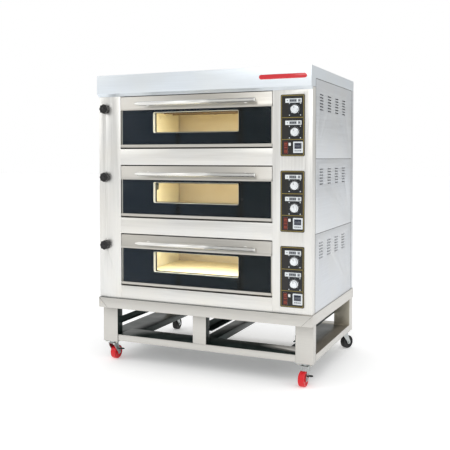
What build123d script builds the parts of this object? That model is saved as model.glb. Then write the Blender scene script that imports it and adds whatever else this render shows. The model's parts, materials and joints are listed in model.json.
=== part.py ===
"""Three-deck electric bakery oven on a wheeled stand.

Frame: +X to the right as seen from the front, +Y to the back, +Z up.  The origin is on the floor,
in the middle of the whole oven's width and depth.  Millimetres.
"""
from build123d import *
import math
import os

os.makedirs("parts", exist_ok=True)

# ---- overall sizes ---------------------------------------------------------------------------
body_width = 1220.0          # outside of the case and of the hood
body_depth = 830.0           # front face of the case to its back
deck_count = 3
deck_pitch = 373.0           # height of one deck
castor_height = 110.0        # floor to the underside of the legs
stand_height = 250.0         # underside of the legs to the top of the stand
plinth_height = 22.0         # case below the lowest deck
hood_rise = 79.0             # top deck to the top of the hood

# ---- sheet metal ------------------------------------------------------------------------------
sheet = 1.5                  # case panels
seam = 1.5                   # open seam between neighbouring panels
return_front = 55.0          # side return of the front columns
return_back = 43.0           # side return of the back panel
hood_overhang = 20.0         # hood in front of the case
hood_fascia = 100.0          # height of the hood's front
hood_skirt = 57.0            # height of the hood's sides
hood_lip = 15.0              # height of the slanted lip under the fascia
hole_gap = 0.3               # pin or bolt to the edge of its hole, radial

# ---- doors ------------------------------------------------------------------------------------
door_width = 878.0           # opening between the columns
door_height = 275.0
door_thickness = 38.0
door_drop = 40.0             # top of a deck to the top of its door
left_column_width = 137.0
door_side_gap = 2.5
door_gap = 6.0               # gap above and below a door
door_back_gap = 2.5          # door to the face of the chamber
top_strip = 61.0             # steel above the glass
lip_height = 12.0            # bright lip over the glass
lip_proud = 4.0
sill_height = 17.0           # steel below the glass
sill_proud = 2.5
sill_bead = 7.0              # proud bead at the top of the sill
glass_thickness = 5.0
glass_tuck = 4.0             # glass held in the lip and in the sill
glass_set_back = 1.0
glass_clearance = 0.3
glass_side = 6.0             # end of the glass groove to the door's edge
window_width = 494.0         # light opening through the door
window_height = 110.0
window_left = 199.0          # left edge of the door to the window
window_drop = 86.0           # top of the door to the window
window_radius = 8.0
door_skin = 2.0              # folded steel of the door and its liner
inner_glass_thickness = 4.0
inner_glass_lip = 4.0        # liner that laps over the inner pane
hinge_boss = (30.0, 20.0)    # solid corner round a hinge pin, width and height
handle_length = 692.0
handle_diameter = 21.0
handle_left = 109.0          # left edge of the door to the handle's end
handle_drop = 41.0
handle_reach = 34.0          # face of the door to the bar's centre line
handle_post = 14.0
handle_post_inset = 62.0
handle_taper = 26.0
handle_wall = 1.5
handle_cap = 5.0
handle_tip = 7.4             # blunt end of the taper

# ---- door hinge pins ---------------------------------------------------------------------------
hinge_pin = 10.0
hinge_clearance = 0.06       # radial, running fit of the pin in the door
hinge_from_face = 9.0        # door face to the pin's axis
hinge_from_bottom = 9.0
hinge_depth = 24.0           # pin's length in the door
hinge_block = (16.0, 26.0, 34.0)

# ---- baking chambers ---------------------------------------------------------------------------
chamber_width = 858.0
chamber_depth = 640.0
chamber_height = 226.0
chamber_wall = 2.0
chamber_sill = 14.0          # bottom of the door to the chamber's floor
insulation_side = 38.0
insulation_top = 34.0
insulation_bottom = 34.0
insulation_back = 45.0
hearth_thickness = 10.0
hearth_stand = 20.0          # chamber floor to the underside of the hearth
hearth_gap = 5.0
hearth_foot = 8.0
hearth_foot_inset = 30.0
element_diameter = 9.0
element_rows = 5
element_inset = 90.0         # chamber's ends to the first and last heater
element_drop = 27.0          # chamber's roof to the upper heaters
lamp_diameter = 46.0
lamp_dome = 36.8
lamp_base = 8.0
lamp_from_front = 224.0
lamp_drop = 62.0

# ---- controls ----------------------------------------------------------------------------------
panel_width = 123.0
panel_height = 302.0
panel_thickness = 3.0
panel_radius = 7.0
panel_drop = 19.0            # top of the door to the top of the control panel
panel_inset = 39.0           # right edge of the case to the panel's right edge
panel_window_margin = 8.0    # column metal behind the panel's edge
dial_from_right = 49.0
dial_drops = (92.0, 203.0)   # top of the door to each dial's centre
dial_bezel = 54.0
dial_bezel_thickness = 2.0
knob_diameter = 34.0
knob_height = 19.0
knob_skirt = 40.0
knob_skirt_height = 4.0
spindle = 6.0
spindle_depth = 16.0
running = 0.06               # radial clearance of small shafts
spindle_hole_gap = 1.5       # knob spindle to the panel's hole
knob_lift = 0.8              # knob to the face under it
knob_round = 3.0
knob_flutes = 12
knob_flute = 6.0
knob_flute_depth = 1.8
display_size = (83.0, 21.0)
display_drops = (49.5, 157.5)
display_from_right = 56.5
thermostat_body = (58.0, 30.0, 58.0)
timer_face = (49.0, 55.0)
timer_thickness = 5.0
timer_body = (44.0, 38.0, 48.0)
timer_from_right = 31.5
timer_drop = 277.5
timer_radius = 3.0
switch_face = (17.0, 23.0)
switch_wall = 2.5
switch_from_right = 75.0
switch_drop = 262.0
switch_rim = 1.5             # rim of the housing in front of the panel
switch_depth = 22.5
rocker_pin = 1.5
rocker_gap = 0.4
rocker_set_back = 2.0        # panel's face to the rocker's pin
rocker_corners = (           # angle round the pin and share of the rocker's reach
    (135.0, 1.0),
    (180.0, 0.48),
    (246.0, 1.0),
    (284.0, 0.95),
    (330.0, 0.7),
    (30.0, 0.7),
    (76.0, 0.95),
)
meter_face = (21.0, 60.0)
meter_thickness = 1.5
meter_from_right = 95.0
meter_drop = 279.0

# ---- exhaust dampers ---------------------------------------------------------------------------
damper_from_left = 42.0
damper_drop = 62.0
damper_knob = 52.0
damper_knob_height = 24.0
damper_lobes = 8
damper_lobe = 10.0
damper_lobe_set = 3.0        # lobes to the knob's back face
damper_spindle = 8.0
damper_spindle_end = 10.0    # spindle behind its duct
damper_flap = 2.0
duct_size = (66.0, 60.0)     # width and depth of an exhaust duct
duct_first = 250.0           # front of the case to the top deck's duct
duct_step = 130.0
duct_branch = 44.0
duct_branch_drop = 6.0       # flap's circle to the branch
damper_flap_gap = 1.5

# ---- vent slots of the right side -------------------------------------------------------------
vent_length = 62.0
vent_height = 5.0
vent_rows = 6
vent_row_pitch = 15.0
vent_columns = 4
vent_first = 159.0           # front of the case to the first column of slots
vent_column_pitch = 148.0
vent_drop = 10.0             # top of the door to the top row

# ---- stand -------------------------------------------------------------------------------------
rail_height = 55.0
rail_depth = 50.0
rail_proud_side = 4.0
rail_proud_front = 8.0
rail_proud_back = 4.0
leg_width = 93.0
leg_side_set = 1.0           # side of the case to the legs
leg_set_back = 30.0
leg_front_depth = 50.0
leg_back_depth = 66.0
low_rail_height = 35.0
low_rail_lift = 5.0          # underside of the legs to the low rail
low_rail_depth = 50.0
low_rail_front_set = 2.0     # front of the legs to the low frame
low_rail_back_set = 10.0
low_shelf_depth = 150.0      # flat front member of the low frame
shelf_width = 165.0          # flat side members
post_width = 77.0
post_inset = 2.0             # face of the legs to the face of a post
post_offset = -14.5          # middle of the stand to the middle post
slide_lift = 63.0            # top of the low rail to the tray slide
slide_flange = 105.0
slide_web = 34.0
slide_thickness = 3.0
slide_ledge = 14.0           # side slide inside the legs
slide_front_set = 4.0        # front of the legs to the slides
slide_back_lap = 20.0
tube_wall = 2.0
drain_hole = 8.0
drain_inset = 250.0

# ---- castors -----------------------------------------------------------------------------------
wheel_diameter = 75.0
wheel_width = 32.0
castor_plate = (84.0, 46.0, 3.0)
head_diameter = 44.0
head_height = 9.0
cup_diameter = 28.0
king_pin = 12.0
pin_collar = (18.0, 4.0)     # diameter and height
fork_top = 3.0
fork_leg = 3.0
fork_gap = 1.5               # wheel to each fork leg
fork_width = 30.0
castor_trail = 32.0
axle_diameter = 8.0
axle_head = 13.0
axle_head_height = 5.0
tread_round = 4.0
rim_width = 10.0
hub_diameter = 26.0
dish_depth = 4.0
castor_bolt = 8.0
bolt_head = (13.0, 5.0)
bolt_inset = (10.0, 9.0)     # plate's edges to a bolt
castor_clearance = 0.3
back_castor_set = 32.0       # back of the case to the back castors' swivel axis
front_left_yaw = 178.0       # degrees, where each castor has been left to point
front_right_yaw = -4.0
back_left_yaw = 180.0
back_right_yaw = 150.0
pedal_lug = (9.0, 12.0, 12.0)
pedal_pin = 2.0
pedal_ear = 2.5
pedal_lift = 18.0            # axle to the lever's pin
pedal_width = 22.0
pedal_length = 27.0          # pin to the end of the toe
pedal_toe_radius = 8.8
pedal_clearance = 0.6

# ---- cable entry -------------------------------------------------------------------------------
gland_diameter = 36.0
gland_bore = 22.0
gland_length = 24.0
gland_wall = 3.0
gland_flange = 8.0
gland_nut = 6.0
gland_from_right = 110.0
gland_height = 190.0         # above the underside of the case

# ---- derived places ----------------------------------------------------------------------------
half_width = body_width / 2
stand_bottom = castor_height
case_bottom = castor_height + stand_height
deck_stack_bottom = case_bottom + plinth_height
deck_stack_top = deck_stack_bottom + deck_count * deck_pitch
total_height = deck_stack_top + hood_rise

wheel_radius = wheel_diameter / 2
handle_front = handle_reach + handle_diameter / 2
castor_back_reach = body_depth - back_castor_set + castor_trail + wheel_radius
gland_back_reach = body_depth + gland_length
back_reach = max(castor_back_reach, gland_back_reach)
front_y = -(back_reach - handle_front) / 2      # front face of the case
back_y = front_y + body_depth

door_left = -half_width + left_column_width
door_right = door_left + door_width
hood_bottom = total_height - hood_fascia
lip_bottom = hood_bottom - hood_lip
skirt_bottom = total_height - hood_skirt
chamber_front = front_y + door_thickness + door_back_gap
chamber_x = (door_left + door_right) / 2
rail_top = case_bottom
rail_bottom = rail_top - rail_height
low_rail_bottom = stand_bottom + low_rail_lift
low_rail_top = low_rail_bottom + low_rail_height
leg_front_y = front_y + leg_set_back
leg_back_y = back_y + rail_proud_back - leg_back_depth
leg_inner = half_width - leg_width
leg_outer = half_width - leg_side_set
deck_names = range(1, deck_count + 1)


def deck_base(deck):
    """Bottom of a deck; deck 1 is the top one."""
    return deck_stack_bottom + (deck_count - deck) * deck_pitch


def door_top(deck):
    return deck_base(deck) + deck_pitch - door_drop


def door_bottom(deck):
    return door_top(deck) - door_height


# ---- shape helpers -----------------------------------------------------------------------------
def block(x0, x1, y0, y1, z0, z1):
    """A box between two corners."""
    size = (abs(x1 - x0), abs(y1 - y0), abs(z1 - z0))
    middle = ((x0 + x1) / 2, (y0 + y1) / 2, (z0 + z1) / 2)
    return Pos(*middle) * Box(*size)


def rod(axis, radius, start, end, across):
    """A round bar along an axis: across gives its place on the other two axes, in X, Y, Z order."""
    length = abs(end - start)
    middle = (start + end) / 2
    if axis == "x":
        return Pos(middle, across[0], across[1]) * Rot(0, 90, 0) * Cylinder(radius, length)
    if axis == "y":
        return Pos(across[0], middle, across[1]) * Rot(90, 0, 0) * Cylinder(radius, length)
    return Pos(across[0], across[1], middle) * Cylinder(radius, length)


def plate_y(outline, y0, y1):
    """An outline drawn in X and Z, made solid from y0 to y1."""
    flat = Plane(origin=(0, y0, 0), x_dir=(1, 0, 0), z_dir=(0, -1, 0)) * outline
    return extrude(flat, amount=y1 - y0, dir=(0, 1, 0))


def one(shape):
    """The single solid of a shape."""
    found = shape.solids()
    assert len(found) == 1, f"expected one solid, found {len(found)}"
    return found[0]


def write(name, *shapes):
    """Write one node, as one solid or as a group of separate solids."""
    solids = [solid for shape in shapes for solid in shape.solids()]
    node = solids[0] if len(solids) == 1 else Compound(children=solids)
    node.label = name
    export_step(node, f"parts/{name}.step")


# ---- case --------------------------------------------------------------------------------------
def make_hood():
    front = front_y - hood_overhang
    left = -half_width
    right = half_width
    top = total_height
    side_front = front_y + return_front
    side_back = back_y
    parts = [
        block(left, right, front, side_back, top - sheet, top),
        block(left, right, front, front + sheet, hood_bottom, top),
        block(left, right, side_back - sheet, side_back, skirt_bottom, top),
    ]
    for x0, x1 in ((left, left + sheet), (right - sheet, right)):
        parts.append(block(x0, x1, front, side_front, hood_bottom, top))
        parts.append(block(x0, x1, side_front, side_back, skirt_bottom, top))
    lip_back = front_y - 0.5
    lip = Plane.YZ * Polygon(
        (front, hood_bottom),
        (front + sheet, hood_bottom),
        (lip_back, lip_bottom + sheet),
        (lip_back, lip_bottom),
        (lip_back - 1.0, lip_bottom),
        align=None,
    )
    parts.append(Pos(left, 0, 0) * extrude(lip, amount=body_width, dir=(1, 0, 0)))
    parts.append(block(left, right, lip_back - sheet, lip_back, lip_bottom, hood_bottom + sheet))
    parts.append(block(left, right, front, lip_back, hood_bottom, hood_bottom + sheet))
    hood = Part() + parts
    for deck in deck_names:
        x0, x1, y0, y1 = duct_outline(deck)
        hood -= block(x0, x1, y0, y1, top - 3 * sheet, top + 1)
    return one(hood)


def column(x0, x1, outer_left):
    """A folded front column between x0 and x1, with its outer side return and its inner return."""
    low = case_bottom
    high = hood_bottom - seam
    face = block(x0, x1, front_y, front_y + sheet, low, high)
    outer = (x0, x0 + sheet) if outer_left else (x1 - sheet, x1)
    inner = (x1 - sheet, x1) if outer_left else (x0, x0 + sheet)
    side = block(*outer, front_y, front_y + return_front, low, high)
    back = block(*inner, front_y, chamber_front, low, high)
    return Part() + [face, side, back]


def hinge_axis(deck):
    """Y and Z of a door's hinge line."""
    return front_y + hinge_from_face, door_bottom(deck) + hinge_from_bottom


def make_left_column():
    shape = column(-half_width, door_left, True)
    for deck in deck_names:
        shape -= rod("x", hinge_pin / 2 + hole_gap, door_left - 5, door_left + 5, hinge_axis(deck))
        x, z = damper_place(deck)
        shape -= rod("y", damper_spindle / 2 + hole_gap, front_y - 5, front_y + 5, (x, z))
    return one(shape)


def panel_box(deck):
    """Left, right, bottom and top of a deck's control panel."""
    right = half_width - panel_inset
    top = door_top(deck) - panel_drop
    return right - panel_width, right, top - panel_height, top


def make_right_column():
    shape = column(door_right, half_width, False)
    for deck in deck_names:
        shape -= rod("x", hinge_pin / 2 + hole_gap, door_right - 5, door_right + 5, hinge_axis(deck))
        x0, x1, z0, z1 = panel_box(deck)
        margin = panel_window_margin
        shape -= block(x0 + margin, x1 - margin, front_y - 1, front_y + 3 * sheet, z0 + margin, z1 - margin)
    return one(shape)


def make_front_strips():
    """Folded strips that close the front between and below the doors."""
    strips = []
    highs = [door_bottom(deck) - door_gap for deck in deck_names]
    lows = [door_top(deck) + door_gap for deck in deck_names[1:]] + [case_bottom]
    x0 = door_left
    x1 = door_right
    for high, low in zip(highs, lows):
        face = block(x0, x1, front_y, front_y + sheet, low, high)
        upper = block(x0, x1, front_y, chamber_front, high - sheet, high)
        lower = block(x0, x1, front_y, chamber_front, low, low + sheet)
        strips.append(one(Part() + [face, upper, lower]))
    return strips


def make_side_panels(side):
    """Side panels of the three decks; the right ones have pressed vent slots."""
    outer = side * half_width
    inner = outer - side * sheet
    panels = []
    for deck in deck_names:
        low = deck_base(deck) if deck < deck_count else case_bottom
        high = deck_base(deck) + deck_pitch - seam if deck > 1 else skirt_bottom - seam
        y0 = front_y + return_front + seam
        y1 = back_y - return_back - seam
        panel = block(inner, outer, y0, y1, low, high)
        if side > 0:
            slots = [
                block(inner - 1, outer + 1, y - vent_length / 2, y + vent_length / 2, z, z + vent_height)
                for y, z in vent_places(deck)
            ]
            panel -= slots
        panels.append(one(panel))
    return panels


def vent_places(deck):
    """Middle Y and bottom Z of each vent slot of a deck."""
    top = door_top(deck) - vent_drop - vent_height
    return [
        (front_y + vent_first + col * vent_column_pitch, top - row * vent_row_pitch)
        for col in range(vent_columns)
        for row in range(vent_rows)
    ]


def make_rear_panel():
    """Back of the case with its side returns and the hole for the cable gland."""
    low = case_bottom
    high = skirt_bottom - seam
    parts = [block(-half_width, half_width, back_y - sheet, back_y, low, high)]
    for x0, x1 in ((-half_width, -half_width + sheet), (half_width - sheet, half_width)):
        parts.append(block(x0, x1, back_y - return_back, back_y, low, high))
    shape = Part() + parts
    shape -= rod("y", gland_bore / 2 + gland_wall, back_y - 5, back_y + 5, gland_place())
    return one(shape)


def gland_place():
    return half_width - gland_from_right, case_bottom + gland_height


def make_deck_shelves():
    """Shelf plates under each deck and over the top one; they carry the chambers."""
    x0 = -half_width + sheet
    x1 = half_width - sheet
    y0 = chamber_front
    y1 = back_y - sheet
    plates = []
    levels = [deck_base(deck) for deck in reversed(deck_names)] + [deck_stack_top - 2 * sheet]
    for level in levels:
        plate = block(x0, x1, y0, y1, level, level + sheet)
        notch = return_front - (chamber_front - front_y) + seam
        for side in (-1, 1):
            corner = side * half_width
            inner = corner - side * 2 * sheet
            plate -= block(corner, inner, y0 - 1, y0 + notch, level - 1, level + 9)
            plate -= block(corner, inner, back_y - return_back, y1 + 1, level - 1, level + 9)
        for deck in deck_names:
            if level > duct_bottom(deck):
                a, b, c, d = duct_outline(deck)
                plate -= block(a, b, c, d, level - 1, level + 9)
        plates.append(one(plate))
    return plates


# ---- chambers ----------------------------------------------------------------------------------
def chamber_box(deck):
    """Inside of a baking chamber: x0, x1, y0, y1, z0, z1."""
    x0 = chamber_x - chamber_width / 2
    z0 = door_bottom(deck) + chamber_sill
    return x0, x0 + chamber_width, chamber_front, chamber_front + chamber_depth, z0, z0 + chamber_height


def make_chamber(deck):
    x0, x1, y0, y1, z0, z1 = chamber_box(deck)
    w = chamber_wall
    outer = block(x0 - w, x1 + w, y0, y1 + w, z0 - w, z1 + w)
    low = door_bottom(deck) - door_gap
    high = door_top(deck) + door_gap
    flange = block(door_left, door_right, y0, y0 + w, low, high)
    shape = outer + flange - block(x0, x1, y0 - 1, y1, z0, z1)
    c, d, e, f = branch_box(deck)[2:]
    shape -= block(x0 - 2 * w, x0 + w, c, d, e, f)
    return one(shape)


def make_insulation(deck):
    x0, x1, y0, y1, z0, z1 = chamber_box(deck)
    w = chamber_wall
    low = deck_base(deck) + sheet
    high = deck_base(deck) + deck_pitch - (2 * sheet if deck == 1 else 0)
    outer = block(
        x0 - w - insulation_side, x1 + w + insulation_side,
        y0 + w, y1 + w + insulation_back,
        max(low, z0 - w - insulation_bottom), min(high, z1 + w + insulation_top),
    )
    shape = outer - block(x0 - w, x1 + w, y0 - 1, y1 + w, z0 - w, z1 + w)
    shape -= block(*branch_outer(deck))
    return one(shape)


def hearth_feet():
    """Middle X of the three runners under a hearth."""
    reach = chamber_width / 2 - hearth_foot_inset
    return chamber_x - reach, chamber_x, chamber_x + reach


def make_hearth(deck):
    x0, x1, y0, y1, z0 = chamber_box(deck)[:5]
    g = hearth_gap
    z = z0 + hearth_stand
    plate = block(x0 + g, x1 - g, y0 + 3 * g, y1 - g, z, z + hearth_thickness)
    half = hearth_foot / 2
    feet = [block(x - half, x + half, y0 + 3 * g, y1 - g, z0, z) for x in hearth_feet()]
    return one(Part() + [plate] + feet)


def make_elements(deck, upper):
    """Straight sheathed heaters: above, from wall to wall; below, between the hearth's runners."""
    x0, x1, y0, _, z0, z1 = chamber_box(deck)
    r = element_diameter / 2
    z = z1 - element_drop if upper else z0 + hearth_stand / 2
    first = y0 + element_inset
    step = (chamber_depth - 2 * element_inset) / (element_rows - 1)
    heaters = []
    for row in range(element_rows):
        y = first + row * step
        if upper:
            heaters.append(rod("x", r, x0, x1, (y, z)))
        else:
            half = hearth_foot / 2
            left, middle, right = hearth_feet()
            heaters.append(rod("x", r, left + half, middle - half, (y, z)))
            heaters.append(rod("x", r, middle + half, right - half, (y, z)))
    return heaters


def make_lamp(deck):
    """Lamp holder and glass dome on the chamber's right wall."""
    _, x1, y0, _, _, z1 = chamber_box(deck)
    y = y0 + lamp_from_front
    z = z1 - lamp_drop
    face = x1 - lamp_base
    r = lamp_dome / 2
    base = rod("x", lamp_diameter / 2, face, x1, (y, z))
    dome = Pos(face, y, z) * Sphere(r)
    dome = dome & block(face - r, face, y - r, y + r, z - r, z + r)
    return one(base + dome)


# ---- doors -------------------------------------------------------------------------------------
def door_box(deck):
    x0 = door_left + door_side_gap
    x1 = door_right - door_side_gap
    return x0, x1, front_y, front_y + door_thickness, door_bottom(deck), door_top(deck)


def window_outline(deck, grow=0.0):
    """Rounded outline of the door's light opening, in X and Z."""
    x = door_left + window_left + window_width / 2
    z = door_top(deck) - window_drop - window_height / 2
    size = (window_width + 2 * grow, window_height + 2 * grow)
    return Pos(x, z) * RectangleRounded(*size, window_radius + grow)


def door_panes(deck):
    """Top of the sill and underside of the lip, which hold the front pane."""
    return door_bottom(deck) + sill_height, door_top(deck) - top_strip - lip_height


def make_door_frame(deck):
    """Folded door tray that holds the glass, with the light tunnel and the hinge corners."""
    x0, x1, y0, y1, z0, z1 = door_box(deck)
    tray_back = y1 - door_skin
    tray = block(x0, x1, y0, tray_back, z0, z1)
    front_edges = tray.edges().filter_by(Axis.X).sort_by(Axis.Y)[:2]
    tray = fillet(front_edges.sort_by(Axis.Z)[0], hinge_from_face - 1.5)
    sill_high, lip_low = door_panes(deck)
    tray += block(x0, x1, y0 - lip_proud, y0 + 1, lip_low, lip_low + lip_height)
    tray += block(x0, x1, y0 - sill_proud, y0 + 1, sill_high - sill_bead, sill_high)
    pocket_front = y0 + glass_set_back - glass_clearance
    pocket_back = y0 + glass_set_back + glass_thickness + glass_clearance
    tray -= block(x0 - 1, x1 + 1, y0 - lip_proud - 1, pocket_back, sill_high, lip_low)
    low = sill_high - glass_tuck - glass_clearance
    high = lip_low + glass_tuck + glass_clearance
    tray -= block(x0 + glass_side, x1 - glass_side, pocket_front, pocket_back, low, high)
    t = door_skin
    hollow_front = pocket_back + t
    hollow = block(x0 + t, x1 - t, hollow_front, tray_back + 1, z0 + t, z1 - t)
    hollow -= plate_y(window_outline(deck, t), hollow_front - 1, tray_back + 2)
    boss_w, boss_h = hinge_boss
    for side_x, way in ((x0, 1), (x1, -1)):
        hollow -= block(side_x, side_x + way * boss_w, y0, tray_back + 2, z0, z0 + boss_h)
    tray -= hollow
    tray -= block(x0 + t, x1 - t, y0 + t, hollow_front + 1, high + t, z1 - t)
    tray -= plate_y(window_outline(deck), y0 - 5, y1 + 5)
    y, z = hinge_axis(deck)
    bore = hinge_pin / 2 + hinge_clearance
    tray -= rod("x", bore, x0 - 1, x0 + hinge_depth + 2, (y, z))
    tray -= rod("x", bore, x1 + 1, x1 - hinge_depth - 2, (y, z))
    return one(tray)


def make_door_liner(deck):
    """Inner sheet of the door, with the lip that keeps the inner pane."""
    x0, x1, y0, y1, z0, z1 = door_box(deck)
    liner = block(x0, x1, y1 - door_skin, y1, z0, z1)
    liner -= plate_y(window_outline(deck, -inner_glass_lip), y0, y1 + 1)
    return one(liner)


def make_door_glass(deck):
    """Black-edged front pane and clear inner pane."""
    x0, x1, y0, y1 = door_box(deck)[:4]
    sill_high, lip_low = door_panes(deck)
    side = glass_side + glass_clearance
    face = y0 + glass_set_back
    low = sill_high - glass_tuck
    high = lip_low + glass_tuck
    front = block(x0 + side, x1 - side, face, face + glass_thickness, low, high)
    back = y1 - door_skin
    inner = plate_y(window_outline(deck, -glass_clearance), back - inner_glass_thickness, back)
    return front, inner


def make_door_handle(deck):
    """Tube handle on two posts; its left end is drawn to a blunt point, its right end is capped."""
    _, _, y0, _, _, z1 = door_box(deck)
    left = door_left + handle_left
    right = left + handle_length - handle_cap
    y = y0 - handle_reach
    z = z1 - handle_drop
    r = handle_diameter / 2
    bar = rod("x", r, left + handle_taper, right, (y, z))
    tip = Pos(left + handle_taper / 2, y, z) * Rot(0, 90, 0) * Cone(handle_tip / 2, r, handle_taper)
    posts = [
        rod("y", handle_post / 2, y, y0, (x, z))
        for x in (left + handle_post_inset, right - handle_post_inset)
    ]
    bar = Part() + [bar, tip] + posts
    bar -= rod("x", r - handle_wall, left + handle_taper + handle_wall, right + 1, (y, z))
    cap = rod("x", r, right, right + handle_cap, (y, z))
    cap = fillet(cap.edges().filter_by(GeomType.CIRCLE).sort_by(Axis.X)[-1], handle_cap - 1.0)
    return one(bar), one(cap)


def make_hinge_pins():
    """Blocks inside the columns, each with the pin that a door turns on."""
    blocks = []
    wide, deep, tall = hinge_block
    for deck in deck_names:
        y, z = hinge_axis(deck)
        for edge, side in ((door_left, -1), (door_right, 1)):
            near = edge + side * sheet
            far = near + side * wide
            body = block(near, far, front_y + sheet, front_y + sheet + deep, z - tall / 2, z + tall / 2)
            door_side = edge - side * door_side_gap
            pin = rod("x", hinge_pin / 2, near + side * 2, door_side - side * hinge_depth, (y, z))
            blocks.append(one(body + pin))
    return blocks


# ---- controls ----------------------------------------------------------------------------------
def from_panel(deck, from_right, drop):
    """X and Z of a place on a control panel."""
    return panel_box(deck)[1] - from_right, door_top(deck) - drop


def make_control_panel(deck):
    x0, x1, z0, z1 = panel_box(deck)
    outline = Pos((x0 + x1) / 2, (z0 + z1) / 2) * RectangleRounded(x1 - x0, z1 - z0, panel_radius)
    plate = plate_y(outline, front_y - panel_thickness, front_y)
    for drop in dial_drops:
        x, z = from_panel(deck, dial_from_right, drop)
        plate -= rod("y", spindle / 2 + spindle_hole_gap, front_y - 9, front_y + 9, (x, z))
    x, z = from_panel(deck, switch_from_right, switch_drop)
    w, h = switch_face
    plate -= block(x - w / 2, x + w / 2, front_y - 9, front_y + 9, z - h / 2, z + h / 2)
    x, z = from_panel(deck, timer_from_right, timer_drop)
    w, _, h = timer_body
    plate -= block(x - w / 2, x + w / 2, front_y - 9, front_y + 9, z - h / 2, z + h / 2)
    return one(plate)


def make_thermostat(deck, drop, display_drop):
    """Dial bezel, display bar and the thermostat behind the panel."""
    face = front_y - panel_thickness
    x, z = from_panel(deck, dial_from_right, drop)
    r = dial_bezel / 2
    bezel = rod("y", r, face - dial_bezel_thickness, face, (x, z))
    bezel -= rod("y", spindle / 2 + spindle_hole_gap, face - 9, face + 9, (x, z))
    w, d, h = thermostat_body
    body = block(x - w / 2, x + w / 2, front_y, front_y + d, z - h / 2, z + h / 2)
    body -= rod("y", spindle / 2 + running, front_y - 1, front_y + spindle_depth + 1, (x, z))
    dx, dz = from_panel(deck, display_from_right, display_drop)
    dw, dh = display_size
    display = block(dx - dw / 2, dx + dw / 2, face - dial_bezel_thickness, face, dz - dh / 2, dz + dh / 2)
    return one(bezel), one(body), one(display)


def make_knob(deck, drop):
    """Thermostat knob with a skirt, a fluted grip and its spindle."""
    face = front_y - panel_thickness - dial_bezel_thickness - knob_lift
    x, z = from_panel(deck, dial_from_right, drop)
    skirt = rod("y", knob_skirt / 2, face - knob_skirt_height, face, (x, z))
    grip = rod("y", knob_diameter / 2, face - knob_height, face - knob_skirt_height, (x, z))
    front_edge = grip.edges().filter_by(GeomType.CIRCLE).sort_by(Axis.Y)[0]
    grip = fillet(front_edge, knob_round)
    flute_reach = (knob_diameter + knob_flute) / 2 - knob_flute_depth
    for step in range(knob_flutes):
        angle = 2 * math.pi * (step + 0.5) / knob_flutes
        gx = x + flute_reach * math.cos(angle)
        gz = z + flute_reach * math.sin(angle)
        grip -= rod("y", knob_flute / 2, face - knob_height - 1, face - knob_skirt_height, (gx, gz))
    shaft = rod("y", spindle / 2, face - 1, front_y + spindle_depth, (x, z))
    return one(skirt + grip + shaft)


def rocker_pivot(deck):
    """X, Y and Z of the middle of a rocker's pivot."""
    x, z = from_panel(deck, switch_from_right, switch_drop)
    return x, front_y - panel_thickness + rocker_set_back, z


def make_switch_body(deck):
    """Housing of the power switch, open at the front."""
    x, y, z = rocker_pivot(deck)
    w, h = switch_face
    t = switch_wall
    face = front_y - panel_thickness - switch_rim
    back = front_y + switch_depth
    body = block(x - w / 2, x + w / 2, face, back, z - h / 2, z + h / 2)
    body -= block(x - w / 2 + t, x + w / 2 - t, face - 1, back - t, z - h / 2 + t, z + h / 2 - t)
    body -= rod("x", rocker_pin + running, x - w / 2 + 1.0, x + w / 2 - 1.0, (y, z))
    return one(body)


def rocker_corner(y, z, reach, angle, share):
    """A corner of the rocker, at an angle round its pivot and a share of its reach."""
    turn = math.radians(angle)
    return y + share * reach * math.cos(turn), z + share * reach * math.sin(turn)


def make_rocker(deck):
    """Rocker of the power switch: two facets in front, inside a circle that clears the housing."""
    x, y, z = rocker_pivot(deck)
    w, h = switch_face
    reach = h / 2 - switch_wall - rocker_gap
    half = w / 2 - switch_wall - rocker_gap
    outline = Polygon(*[rocker_corner(y, z, reach, *corner) for corner in rocker_corners], align=None)
    body = Pos(x - half, 0, 0) * extrude(Plane.YZ * outline, amount=2 * half, dir=(1, 0, 0))
    pin = rod("x", rocker_pin, x - w / 2 + 1.2, x + w / 2 - 1.2, (y, z))
    return one(body + pin)


def make_timer(deck):
    """Timer with its face frame and body, and the small meter plate beside the switch."""
    face = front_y - panel_thickness
    x, z = from_panel(deck, timer_from_right, timer_drop)
    w, h = timer_face
    frame = plate_y(Pos(x, z) * RectangleRounded(w, h, timer_radius), face - timer_thickness, face)
    w, d, h = timer_body
    w -= 2 * hole_gap
    h -= 2 * hole_gap
    body = block(x - w / 2, x + w / 2, face, front_y + d, z - h / 2, z + h / 2)
    mx, mz = from_panel(deck, meter_from_right, meter_drop)
    mw, mh = meter_face
    meter = block(mx - mw / 2, mx + mw / 2, face - meter_thickness, face, mz - mh / 2, mz + mh / 2)
    return one(frame + body), one(meter)


# ---- exhaust -----------------------------------------------------------------------------------
def damper_place(deck):
    return -half_width + damper_from_left, door_top(deck) - damper_drop


def duct_outline(deck):
    """Left, right, front and back of a deck's exhaust duct."""
    x = damper_place(deck)[0]
    w, d = duct_size
    y = front_y + duct_first + (deck - 1) * duct_step
    return x - w / 2, x + w / 2, y - d / 2, y + d / 2


def branch_box(deck):
    """Inside of the branch from a chamber to its duct."""
    _, x1, y0, y1 = duct_outline(deck)
    z = damper_place(deck)[1] - duct_size[0] / 2 - duct_branch / 2 - duct_branch_drop
    wall = chamber_box(deck)[0] - chamber_wall
    return x1 - sheet, wall, y0 + sheet, y1 - sheet, z - duct_branch / 2, z + duct_branch / 2


def branch_outer(deck):
    x0, x1, y0, y1, z0, z1 = branch_box(deck)
    return x0, x1, y0 - sheet, y1 + sheet, z0 - sheet, z1 + sheet


def duct_bottom(deck):
    return branch_box(deck)[4] - sheet


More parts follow.
